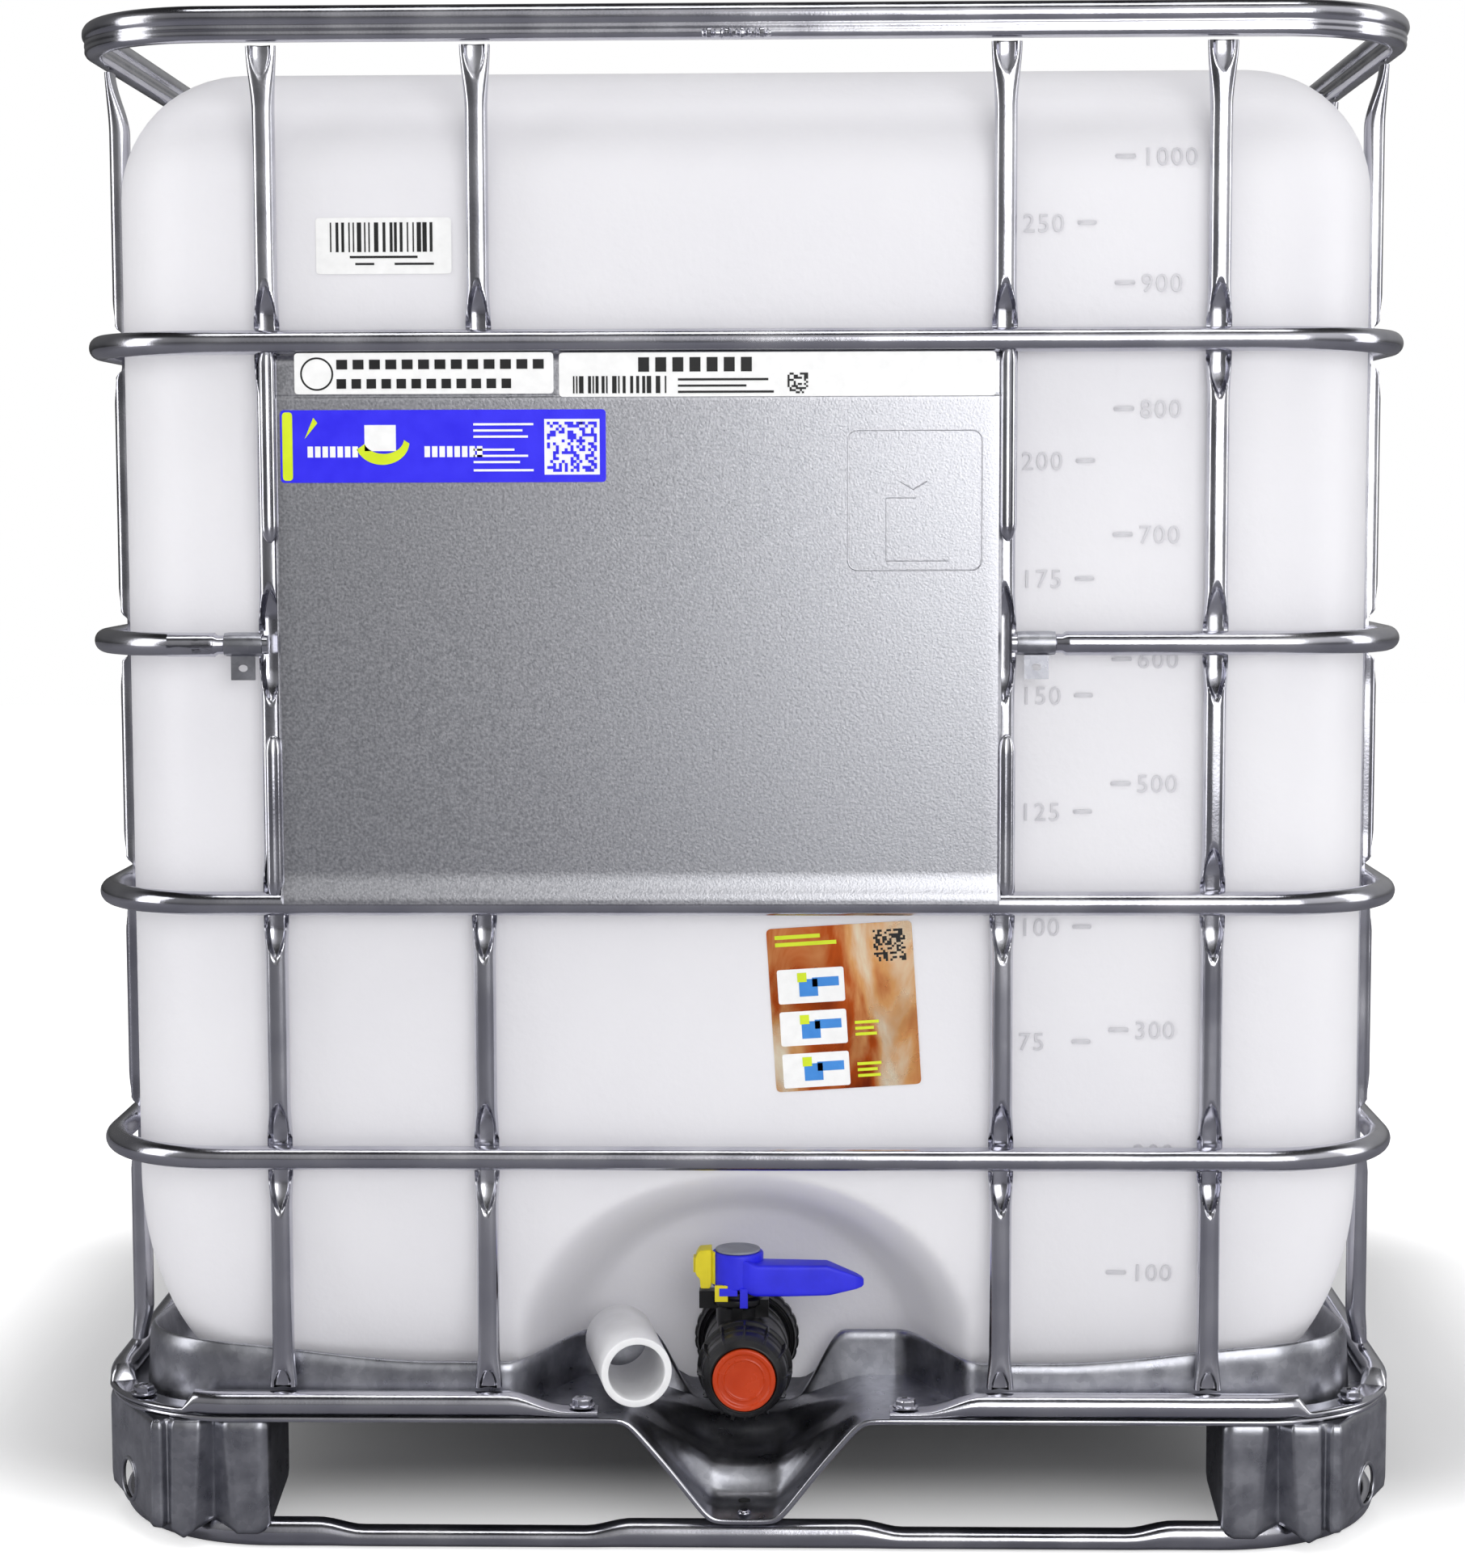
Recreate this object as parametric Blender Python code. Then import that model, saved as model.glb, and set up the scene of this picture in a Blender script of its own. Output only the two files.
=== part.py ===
"""Intermediate bulk container: plastic bottle in a tube cage on a pressed steel pallet.

Frame: origin at the centre of the base, +Z up, the valve side faces -Y, +X to the right seen
from the valve side. Metres. Every object is one separate piece of the real container.
"""

import math

import bmesh
import bpy
import numpy as np
from mathutils import Vector

# ---------------------------------------------------------------- driving dimensions

HALF_X = 0.500
HALF_Y = 0.600
HEIGHT = 1.151
GAP = 0.0003

RING_R = 0.009
RING_CORNER = 0.110
RING_HEIGHTS = {
    "cage_ring_2": 0.9086,
    "cage_ring_3": 0.6869,
    "cage_ring_4": 0.4938,
    "cage_ring_5": 0.3011,
}
TOP_RING_TALL = 0.026

POST_HALF_WIDTH = 0.00825
POST_FRONT = 0.0083
POST_BACK = 0.0238
POST_PRESSED_FRONT = 2 * RING_R + GAP
POST_PRESSED_HALF_WIDTH = 0.0094
POST_TOP_FORM = (0.0100, 0.0062, 0.0125)
POST_TOP_TAPER = 0.045
POST_FOOT_FORM = (0.0098, 0.0068, 0.0185)
POST_FOOT_TAPER = 0.030
POST_TOP = HEIGHT - TOP_RING_TALL - GAP
SCOOP_LENGTH = 0.031
FRONT_POSTS = (-0.349, -0.193, 0.193, 0.349)
REAR_POSTS = (-0.345, -0.118, 0.118, 0.345)
SIDE_POSTS = (-0.450, -0.225, 0.0, 0.225, 0.450)

RAIL_Z = 0.1127
RAIL_HALF = 0.0095
RAIL_PAD_Z = 0.1075
RAIL_PAD_HALF = 0.0040
RAIL_END_X = 0.110
POST_BOTTOM = RAIL_Z + RAIL_HALF + GAP

DECK_SHEET = 0.0015
DECK_FLANGE_Z = 0.1027
DECK_RIM_Z = 0.139
DECK_FLOOR_Z = 0.116
DECK_EDGE_INSET = 0.003
TROUGH_HALF_TOP = 0.098
TROUGH_HALF_BOTTOM = 0.024
TROUGH_FRONT_Z = 0.0242
TROUGH_BACK_Z = 0.080
TROUGH_BACK_Y = -0.468
SUMP_FRONT_Z = 0.083
DENT_DEPTH = 0.095
DENT_INNER = 0.120
DENT_OUTER = 0.180

BASE_HALF_X = 0.4953
BASE_HALF_Y = 0.5953
BASE_CORNER = 0.1355
BASE_HALF_WIDTH = 0.0105
BASE_HALF_HEIGHT = 0.0110

FOOT_TOP = DECK_FLANGE_Z - DECK_SHEET - GAP
FOOT_BOTTOM = 0.0060
FOOT_SHEET = 0.0025
FOOT_OUT_X = 0.4985
FOOT_OUT_Y = 0.5985
FOOT_HOLE_R = 0.0155
FOOT_HOLE_Z = 0.0360
TUBE_NOTCH_Z = 2 * BASE_HALF_HEIGHT + 0.0015

BOTTLE_HALF_X = 0.4757
BOTTLE_HALF_Y = 0.5757
BOTTLE_CORNER = 0.100
BOTTLE_WALL = 0.0030
BOTTLE_BOTTOM = DECK_FLOOR_Z + GAP
BOTTLE_TOP = 1.115
BOTTLE_TOP_ROUND = 0.095
BOTTLE_BASE_ROUND_X = 0.100
BOTTLE_BASE_ROUND_Y = 0.050
BOTTLE_BASE_ROUND_Z = 0.155
BOTTLE_SUMP = 0.0240
NICHE_DEPTH = 0.128
NICHE_INNER = 0.125
NICHE_OUTER = 0.195
NICHE_SQUEEZE = 1.13
NICHE_Z = 0.118

NECK_R = 0.0780
OUTLET_BOUNDS = ((-0.1053, -0.4713, 0.0511), (0.1053, -0.2413, 0.1643))
MOUTH_BOUNDS = ((-0.1153, -0.1153, 1.1000), (0.1153, 0.1153, 1.1300))
NECK_TOP = 1.1340
LID_R = 0.0885
LID_INNER_R = 0.0812
LID_BOTTOM = 1.1175
LID_TOP = 1.1460
LID_SHEET = 0.0050
VENT_HOLE_R = 0.0260
VENT_FLANGE_R = 0.0330

VALVE_Z = 0.128
OUTLET_HOLE_R = 0.0290
VALVE_BORE_R = 0.0240
NICHE_FACE_Y = -BOTTLE_HALF_Y + NICHE_DEPTH
STEM_X = -0.006
STEM_Y = -0.507
STEM_R = 0.0075
DISC_R = 0.0170
DISC_HALF = 0.0025
BONNET_TOP = 0.1800
HUB_R = 0.0200
HUB_BOTTOM = 0.1835
HUB_TOP = 0.2105
LOCK_HALF = 0.0095
BONNET_R = 0.0170
BARREL_R = 0.0262
BARREL_Y = (-0.4760, -0.4790, -0.5700)
UNION_R = 0.0415
UNION_DEEP = 0.0200
NUT_BACK_Y = -0.5420
NUT_FRONT_Y = -0.5790
NUT_R = 0.0345
NUT_BORE_R = 0.0316
NUT_LIP_R = 0.0245
NUT_LIP_DEEP = 0.0035

PLATE_LEFT = -0.343
PLATE_RIGHT = 0.191
PLATE_FLANGE = 0.009
PLATE_BOTTOM = RING_HEIGHTS["cage_ring_4"] + RING_R + GAP
PLATE_TOP = RING_HEIGHTS["cage_ring_2"] - RING_R - GAP
PLATE_FRONT_Y = -0.5965
PLATE_SHEET = 0.0015
PLATE_LOWER_NOTCH = 0.620
PLATE_UPPER_NOTCH = 0.762

CLAMP_LENGTH = 0.0200
CLAMP_RING_HALF = 0.0070
CLAMP_SHEET = 0.0011
CLAMP_TAB_DROP = 0.0240

LOOSE_TUBE_FRONT = (-0.081, -0.586, 0.1355)
LOOSE_TUBE_YAW = math.radians(-11.0)
LOOSE_TUBE_LENGTH = 0.098
LOOSE_TUBE_R = 0.0270
LOOSE_TUBE_BORE = 0.0215

# ---------------------------------------------------------------- finishes

GALVANISED = ("galvanised_tube", (0.52, 0.52, 0.55), 0.32, 1.0)
PRESSED_STEEL = ("pressed_galvanised_sheet", (0.46, 0.46, 0.49), 0.36, 1.0)
PLATE_STEEL = ("label_plate_sheet", (0.50, 0.50, 0.52), 0.45, 1.0)
BOTTLE_PLASTIC = ("natural_polyethylene", (0.86, 0.86, 0.85), 0.45, 0.0)
BLACK_PLASTIC = ("black_valve_plastic", (0.012, 0.012, 0.013), 0.40, 0.0)
BLUE_PLASTIC = ("blue_handle_plastic", (0.010, 0.035, 0.62), 0.38, 0.0)
YELLOW_PLASTIC = ("yellow_lock_plastic", (0.80, 0.66, 0.01), 0.40, 0.0)
ORANGE_PLASTIC = ("orange_cap_plastic", (0.62, 0.070, 0.010), 0.38, 0.0)
GREY_PLASTIC = ("grey_badge_plastic", (0.30, 0.31, 0.36), 0.45, 0.0)
WHITE_PLASTIC = ("white_tube_plastic", (0.78, 0.78, 0.78), 0.42, 0.0)
RUBBER = ("black_gasket_rubber", (0.02, 0.02, 0.02), 0.75, 0.0)
BLACK_LID = ("black_lid_plastic", (0.02, 0.02, 0.02), 0.45, 0.0)
RED_PLASTIC = ("red_vent_plastic", (0.45, 0.02, 0.02), 0.42, 0.0)


def material(finish):
    """Return the Principled material of a finish, made once."""
    name, colour, roughness, metallic = finish
    found = bpy.data.materials.get(name)
    if found:
        return found
    made = bpy.data.materials.new(name)
    made.use_nodes = True
    shader = made.node_tree.nodes["Principled BSDF"]
    shader.inputs["Base Color"].default_value = (*colour, 1.0)
    shader.inputs["Roughness"].default_value = roughness
    shader.inputs["Metallic"].default_value = metallic
    return made


# ---------------------------------------------------------------- mesh helpers


def make_object(name, points, faces, finish, centre=(0.0, 0.0, 0.0), sharp_deg=40.0):
    """Make one smooth-shaded object with its origin at centre and its faces pointing out."""
    mesh = bpy.data.meshes.new(name)
    offset = np.asarray(centre, dtype=float)
    mesh.from_pydata([tuple(np.asarray(p) - offset) for p in points], [], faces)
    work = bmesh.new()
    work.from_mesh(mesh)
    bmesh.ops.recalc_face_normals(work, faces=work.faces)
    work.to_mesh(mesh)
    work.free()
    mesh.shade_smooth()
    mesh.set_sharp_from_angle(angle=math.radians(sharp_deg))
    made = bpy.data.objects.new(name, mesh)
    made.location = centre
    made.data.materials.append(material(finish))
    bpy.context.collection.objects.link(made)
    return made


def loft(sections, closed=False, capped=True):
    """Join equal-length loops of points in order; return the points and faces."""
    count = len(sections[0])
    points = [tuple(p) for section in sections for p in section]
    faces = []
    last = len(sections) if closed else len(sections) - 1
    for row in range(last):
        here = row * count
        there = ((row + 1) % len(sections)) * count
        for k in range(count):
            after = (k + 1) % count
            faces.append((here + k, here + after, there + after, there + k))
    if capped and not closed:
        faces.append(tuple(reversed(range(count))))
        faces.append(tuple((len(sections) - 1) * count + k for k in range(count)))
    return points, faces


def oval(half_width, half_height, sides=8, centre=(0.0, 0.0)):
    """Polygon whose flats lie at the given half sizes, as (across, up) pairs."""
    reach = 1.0 / math.cos(math.pi / sides)
    angles = (np.arange(sides) + 0.5) * 2.0 * math.pi / sides
    across = centre[0] + half_width * reach * np.cos(angles)
    up = centre[1] + half_height * reach * np.sin(angles)
    return np.column_stack((across, up))


def plan_outline(half_x, half_y, radius, corner_steps=4, front_x=()):
    """Rounded rectangle, anticlockwise from the left end of the front side.

    Returns rows of (x, y, outward x, outward y). front_x adds stations on the front side.
    """
    rows = []
    corners = (
        ((half_x - radius, -half_y + radius), -90.0),
        ((half_x - radius, half_y - radius), 0.0),
        ((-half_x + radius, half_y - radius), 90.0),
        ((-half_x + radius, -half_y + radius), 180.0),
    )
    rows.extend((x, -half_y, 0.0, -1.0) for x in front_x)
    for centre, start in corners:
        for step in range(corner_steps + 1):
            turn = math.radians(start + 90.0 * step / corner_steps)
            out_x = math.cos(turn)
            out_y = math.sin(turn)
            rows.append((centre[0] + radius * out_x, centre[1] + radius * out_y, out_x, out_y))
    return np.array(rows)


def carry(rows, z, section_of):
    """Sections of a tube along plan rows; section_of(row number, row) gives (out, up) pairs."""
    sections = []
    for number, (x, y, out_x, out_y) in enumerate(rows):
        shape = np.asarray(section_of(number, (x, y)))
        sections.append(
            np.column_stack((x + shape[:, 0] * out_x, y + shape[:, 0] * out_y, z + shape[:, 1]))
        )
    return sections


def turned(name, profile, finish, axis="Z", centre=(0.0, 0.0, 0.0), sides=32, radius_of=None):
    """Turn a closed (radius, along) profile about an axis through centre.

    radius_of(angle, radius) may change the radius, for ribs. Axis -Y runs forwards.
    """
    angles = np.arange(sides) * 2.0 * math.pi / sides
    sections = []
    for angle in angles:
        section = []
        for radius, along in profile:
            reach = radius_of(angle, radius) if radius_of else radius
            across = reach * math.cos(angle)
            up = reach * math.sin(angle)
            if axis == "Z":
                point = (centre[0] + across, centre[1] + up, centre[2] + along)
            else:
                point = (centre[0] + across, centre[1] - along, centre[2] + up)
            section.append(point)
        sections.append(section)
    points, faces = loft(sections, closed=True)
    return make_object(name, points, faces, finish, centre)


def cutter(name, points, faces):
    """Make a closed cutting shape that is hidden and drawn as wire."""
    made = make_object(name, points, faces, GALVANISED)
    made.hide_render = True
    made.display_type = "WIRE"
    return made


def box_mesh(low, high):
    """Points and faces of a box between two corners."""
    loops = []
    plan = ((low[0], low[1]), (high[0], low[1]), (high[0], high[1]), (low[0], high[1]))
    for z in (low[2], high[2]):
        loops.append([(x, y, z) for x, y in plan])
    return loft(loops)


def rod_mesh(start, end, radius, sides=24):
    """Points and faces of a straight round rod between two points."""
    first = Vector(start)
    along = (Vector(end) - first).normalized()
    across = along.orthogonal().normalized()
    up = along.cross(across)
    loops = []
    for centre in (first, Vector(end)):
        ring = []
        for k in range(sides):
            turn = 2.0 * math.pi * k / sides
            ring.append(tuple(centre + across * radius * math.cos(turn) + up * radius * math.sin(turn)))
        loops.append(ring)
    return loft(loops)


def cut(target, tool, operation="DIFFERENCE"):
    """Add an exact Boolean to target."""
    step = target.modifiers.new(operation.lower(), "BOOLEAN")
    step.operation = operation
    step.solver = "EXACT"
    step.object = tool


def thicken(target, thickness):
    """Give an open sheet its thickness, inwards from its drawn side."""
    step = target.modifiers.new("sheet", "SOLIDIFY")
    step.thickness = thickness
    step.offset = -1.0
    step.use_even_offset = True


def smooth_step(value):
    """Ease from 0 to 1: 3t^2 - 2t^3 of the clamped value."""
    t = np.clip(value, 0.0, 1.0)
    return t * t * (3.0 - 2.0 * t)


# ---------------------------------------------------------------- cage


def build_plain_ring(name, z):
    """One closed ring tube."""
    rows = plan_outline(HALF_X - RING_R, HALF_Y - RING_R, RING_CORNER - RING_R)
    sections = carry(rows, z, lambda number, row: oval(RING_R, RING_R))
    points, faces = loft(sections, closed=True)
    return make_object(name, points, faces, GALVANISED)


def build_open_ring(name, z):
    """The ring tube that stops either side of the label plate, its ends pressed slimmer for clamps."""
    left_end = PLATE_LEFT - GAP
    right_end = PLATE_RIGHT + GAP
    clamp_stop = CLAMP_LENGTH + PLATE_FLANGE + 0.008
    rows = plan_outline(HALF_X - RING_R, HALF_Y - RING_R, RING_CORNER - RING_R)
    front_y = -HALF_Y + RING_R
    start = [(right_end, front_y, 0.0, -1.0), (right_end + clamp_stop, front_y, 0.0, -1.0)]
    start.append((right_end + clamp_stop + 0.006, front_y, 0.0, -1.0))
    finish = [(left_end - clamp_stop - 0.006, front_y, 0.0, -1.0)]
    finish += [(left_end - clamp_stop, front_y, 0.0, -1.0), (left_end, front_y, 0.0, -1.0)]
    rows = np.vstack((start, rows, finish))
    slim = {0, 1, len(rows) - 2, len(rows) - 1}

    def section(number, row):
        half = CLAMP_RING_HALF if number in slim else RING_R
        return oval(half, half)

    points, faces = loft(carry(rows, z, section))
    return make_object(name, points, faces, GALVANISED)


def build_top_ring():
    """Top tube, rolled to a round upper bulge over a slimmer lower lip."""
    half_tall = TOP_RING_TALL / 2.0
    upper_z = half_tall - RING_R
    lower_r = 0.0052
    lower_z = -half_tall + lower_r
    shape = []
    for step in range(9):
        turn = math.radians(-35.0 + 250.0 * step / 8)
        shape.append((RING_R * math.cos(turn), upper_z + RING_R * math.sin(turn)))
    for step in range(5):
        turn = math.radians(160.0 + 220.0 * step / 4)
        shape.append((lower_r * math.cos(turn), lower_z + lower_r * math.sin(turn)))
    rows = plan_outline(HALF_X - RING_R, HALF_Y - RING_R, RING_CORNER - RING_R, corner_steps=5)
    points, faces = loft(carry(rows, HEIGHT - half_tall, lambda number, row: shape), closed=True)
    return make_object("top_ring", points, faces, GALVANISED)


def build_bottom_rail():
    """Lowest cage tube, pressed flat at the corners and ends where bolts hold it to the deck."""
    front_y = -HALF_Y + RAIL_HALF
    pad = 0.024
    flare = 0.016
    rows = plan_outline(HALF_X - RAIL_HALF, HALF_Y - RAIL_HALF, RING_CORNER - RAIL_HALF)
    start = [(x, front_y, 0.0, -1.0) for x in (RAIL_END_X, RAIL_END_X + pad, RAIL_END_X + pad + flare)]
    finish = [(-x, y, nx, ny) for x, y, nx, ny in reversed(start)]
    rows = np.vstack((start, rows, finish))

    def section(number, row):
        on_corner = abs(row[0]) > HALF_X - RING_CORNER and abs(row[1]) > HALF_Y - RING_CORNER
        at_end = number in (0, 1, len(rows) - 2, len(rows) - 1)
        if on_corner or at_end:
            return oval(RAIL_HALF, RAIL_PAD_HALF, centre=(0.0, RAIL_PAD_Z - RAIL_Z))
        return oval(RAIL_HALF, RAIL_HALF)

    points, faces = loft(carry(rows, RAIL_Z, section))
    return make_object("cage_bottom_rail", points, faces, GALVANISED)


def build_rail_bolts():
    """Six hexagon bolts on the flattened pads of the bottom rail."""
    diagonal = (RING_CORNER - RAIL_HALF) * math.sqrt(0.5)
    corner_x = HALF_X - RING_CORNER + diagonal
    corner_y = HALF_Y - RING_CORNER + diagonal
    end_x = RAIL_END_X + 0.012
    places = [(sx * corner_x, sy * corner_y) for sx in (-1, 1) for sy in (-1, 1)]
    places += [(sx * end_x, -HALF_Y + RAIL_HALF) for sx in (-1, 1)]
    base = RAIL_PAD_Z + RAIL_PAD_HALF + GAP
    for number, (x, y) in enumerate(places, start=1):
        loops = []
        for radius, rise in ((0.0080, 0.0), (0.0080, 0.0042), (0.0066, 0.0056)):
            hexagon = oval(radius * math.cos(math.pi / 6), radius * math.cos(math.pi / 6), sides=6)
            loops.append([(x + a, y + b, base + rise) for a, b in hexagon])
        points, faces = loft(loops)
        make_object(f"rail_bolt_{number}", points, faces, GALVANISED, (x, y, base), sharp_deg=20.0)


def post_profile():
    """Stations of an upright as (height, half width, front depth, back depth).

    Depths are measured inwards from the outer face of the rings. The tube is pressed flat
    behind every ring, and scooped in over SCOOP_LENGTH above and below it.
    """
    plain = (POST_HALF_WIDTH, POST_FRONT, POST_BACK)
    rows = [(POST_BOTTOM, *POST_FOOT_FORM), (POST_BOTTOM + POST_FOOT_TAPER, *plain)]
    for z in sorted(RING_HEIGHTS.values()):
        half_cross = RING_R + 0.002
        for rise in (-SCOOP_LENGTH - RING_R, -half_cross, half_cross, SCOOP_LENGTH + RING_R):
            pressed = abs(rise) < SCOOP_LENGTH
            if pressed:
                rows.append((z + rise, POST_PRESSED_HALF_WIDTH, POST_PRESSED_FRONT, POST_BACK))
            else:
                rows.append((z + rise, *plain))
    rows.append((POST_TOP - POST_TOP_TAPER, *plain))
    rows.append((POST_TOP, *POST_TOP_FORM))
    return rows


def post_section(half_width, half_depth):
    """Six-sided oval, flat at front and back, as (across, outwards) pairs."""
    flat = 0.55 * half_width
    return np.array([
        (-half_width, 0.0), (-flat, -half_depth), (flat, -half_depth),
        (half_width, 0.0), (flat, half_depth), (-flat, half_depth),
    ])


def build_post(name, place, out):
    """One upright at a plan place on the outer face, with outward direction out."""
    out_x, out_y = out
    side_x, side_y = -out_y, out_x
    sections = []
    for z, half_width, front, back in post_profile():
        shape = post_section(half_width, (back - front) / 2.0)
        depth = (back + front) / 2.0 - shape[:, 1]
        x = place[0] - depth * out_x + shape[:, 0] * side_x
        y = place[1] - depth * out_y + shape[:, 0] * side_y
        sections.append(np.column_stack((x, y, np.full(len(shape), z))))
    points, faces = loft(sections)
    return make_object(name, points, faces, GALVANISED)


def build_posts():
    """All uprights: front, rear, left and right sides."""
    for number, x in enumerate(FRONT_POSTS, start=1):
        build_post(f"upright_front_{number}", (x, -HALF_Y), (0.0, -1.0))
    for number, x in enumerate(REAR_POSTS, start=1):
        build_post(f"upright_rear_{number}", (x, HALF_Y), (0.0, 1.0))
    for number, y in enumerate(SIDE_POSTS, start=1):
        build_post(f"upright_left_{number}", (-HALF_X, y), (-1.0, 0.0))
        build_post(f"upright_right_{number}", (HALF_X, y), (1.0, 0.0))


def build_cross_bars():
    """Two tubes over the bottle, pressed flat at their ends against the top ring."""
    z = 1.1295
    end_x = HALF_X - 2 * RING_R - GAP
    stations = ((-end_x, 0.0035), (-end_x + 0.030, 0.0035), (-end_x + 0.055, 0.0075))
    stations += tuple((-x, half) for x, half in reversed(stations))
    for name, y in (("cross_bar_front", -0.215), ("cross_bar_rear", 0.215)):
        sections = []
        for x, half in stations:
            shape = oval(0.0088 if half > 0.005 else 0.0105, half)
            sections.append([(x, y + a, z + b) for a, b in shape])
        points, faces = loft(sections)
        make_object(name, points, faces, GALVANISED)


def build_label_plate():
    """Sheet steel plate in the cage front, with side flanges above and below the open ring's ends."""
    left, right = PLATE_LEFT, PLATE_RIGHT
    far_left, far_right = left - PLATE_FLANGE, right + PLATE_FLANGE
    outline = [
        (far_left, PLATE_BOTTOM), (far_right, PLATE_BOTTOM), (far_right, PLATE_LOWER_NOTCH),
        (right, PLATE_LOWER_NOTCH + 0.006), (right, PLATE_UPPER_NOTCH - 0.006),
        (far_right, PLATE_UPPER_NOTCH), (far_right, PLATE_TOP), (far_left, PLATE_TOP),
        (far_left, PLATE_UPPER_NOTCH),
        (left, PLATE_UPPER_NOTCH - 0.006), (left, PLATE_LOWER_NOTCH + 0.006), (far_left, PLATE_LOWER_NOTCH),
    ]
    loops = [[(x, y, z) for x, z in outline] for y in (PLATE_FRONT_Y, PLATE_FRONT_Y + PLATE_SHEET)]
    points, faces = loft(loops)
    return make_object("label_plate", points, faces, PLATE_STEEL)


def build_clamps():
    """Two sheet clamps round the open ring's ends, each with a hanging tab."""
    ring_y = -HALF_Y + RING_R
    ring_z = RING_HEIGHTS["cage_ring_3"]
    inner = RING_R - CLAMP_SHEET
    turns = [math.radians(-113.0 - 310.0 * step / 12) for step in range(13)]
    profile = [(RING_R * math.cos(t), RING_R * math.sin(t)) for t in turns]
    profile += [(inner * math.cos(t), inner * math.sin(t)) for t in reversed(turns)]
    tab_front = profile[0][0]
    profile += [(tab_front + CLAMP_SHEET, -inner), (tab_front + CLAMP_SHEET, -CLAMP_TAB_DROP)]
    profile += [(tab_front, -CLAMP_TAB_DROP)]
    places = (("plate_clamp_left", PLATE_LEFT - PLATE_FLANGE - 0.0065 - CLAMP_LENGTH),
              ("plate_clamp_right", PLATE_RIGHT + PLATE_FLANGE + 0.0065))
    for name, x in places:
        loops = [[(x + run, ring_y + y, ring_z + z) for y, z in profile] for run in (0.0, CLAMP_LENGTH)]
        points, faces = loft(loops)
        make_object(name, points, faces, PRESSED_STEEL)


# ---------------------------------------------------------------- pallet


def dent_of(x):
    """How far the deck rim bends back round the valve niche, from 0 to 1."""
    return float(smooth_step((DENT_OUTER - abs(x)) / (DENT_OUTER - DENT_INNER)))


def trough_height(x, y):
    """Height of the drain trough: flat bottom rising towards the back, straight sloping sides."""
    back = np.clip((y + HALF_Y) / (TROUGH_BACK_Y + HALF_Y), 0.0, 1.0)
    bottom = TROUGH_FRONT_Z + (TROUGH_BACK_Z - TROUGH_FRONT_Z) * back
    side = np.clip((abs(x) - TROUGH_HALF_BOTTOM) / (TROUGH_HALF_TOP - TROUGH_HALF_BOTTOM), 0.0, 1.0)
    return float(bottom + (DECK_FLANGE_Z - bottom) * side)


def deck_loop(inset, z, dent, middle=None):
    """One loop of the deck sheet, inset from the pallet outline, dented round the niche.

    middle is the loop's height in the centre of the front; without it the loop follows the trough.
    """
    front_x = (
        -DENT_OUTER, -0.160, -0.140, -0.118, -TROUGH_HALF_TOP,
        -0.072, -0.048, -TROUGH_HALF_BOTTOM, 0.0,
    )
    front_x += tuple(-x for x in reversed(front_x[:-1]))
    radius = max(RING_CORNER - inset, 0.02)
    rows = plan_outline(HALF_X - inset, HALF_Y - inset, radius, front_x=front_x)
    loop = []
    for x, y, out_x, out_y in rows:
        height = z
        if out_y < -0.99 and abs(x) <= DENT_OUTER:
            y = y + dent * DENT_DEPTH * dent_of(x)
            if middle is None:
                height = min(z, trough_height(x, y))
            else:
                height = z + (middle - z) * float(smooth_step((0.110 - abs(x)) / 0.050))
        loop.append((x, y, height))
    return loop


def build_deck():
    """Deck pan pressed from one sheet: flange, raised rim, floor with a sump, and the front trough."""
    loops = [
        deck_loop(DECK_EDGE_INSET, DECK_FLANGE_Z, 0.0),
        deck_loop(0.016, DECK_FLANGE_Z, 0.35),
        deck_loop(0.0290, DECK_FLANGE_Z, 1.0),
        deck_loop(0.0310, DECK_RIM_Z - 0.003, 1.0, 0.0815),
        deck_loop(0.0350, DECK_RIM_Z, 1.0, 0.0820),
        deck_loop(0.0390, DECK_RIM_Z - 0.003, 1.0, 0.0825),
        deck_loop(0.0500, DECK_FLOOR_Z, 1.0, SUMP_FRONT_Z),
        deck_loop(0.1000, DECK_FLOOR_Z, 1.0, SUMP_FRONT_Z + 0.006),
        deck_loop(0.1600, DECK_FLOOR_Z, 1.0, SUMP_FRONT_Z + 0.012),
        deck_loop(0.2600, DECK_FLOOR_Z, 1.0),
    ]
    loops[-1] = [(x, y, DECK_FLOOR_Z) for x, y, z in loops[-1]]
    points, faces = loft(loops, capped=False)
    count = len(loops[0])
    faces.append(tuple((len(loops) - 1) * count + k for k in range(count)))
    deck = make_object("deck_pan", points, faces, PRESSED_STEEL)
    if deck.data.polygons[-1].normal.z < 0:
        deck.data.flip_normals()
    thicken(deck, DECK_SHEET)
    return deck


def build_base_ring():
    """Base tube under all the feet, pressed lower in the front between feet and middle."""
    def pressed(x):
        return 0.105 < abs(x) < 0.300

    front_x = (-0.325, -0.290, -0.115, -0.085, 0.085, 0.115, 0.290, 0.325)
    rows = plan_outline(
        BASE_HALF_X - BASE_HALF_WIDTH,
        BASE_HALF_Y - BASE_HALF_WIDTH,
        BASE_CORNER - BASE_HALF_WIDTH,
        front_x=front_x,
    )

    def section(number, row):
        if row[1] < -0.5 and pressed(row[0]):
            return oval(BASE_HALF_WIDTH, 0.0080, centre=(0.0, 0.0080 - BASE_HALF_HEIGHT))
        return oval(BASE_HALF_WIDTH, BASE_HALF_HEIGHT)

    points, faces = loft(carry(rows, BASE_HALF_HEIGHT, section), closed=True)
    return make_object("base_ring_tube", points, faces, GALVANISED)


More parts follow.
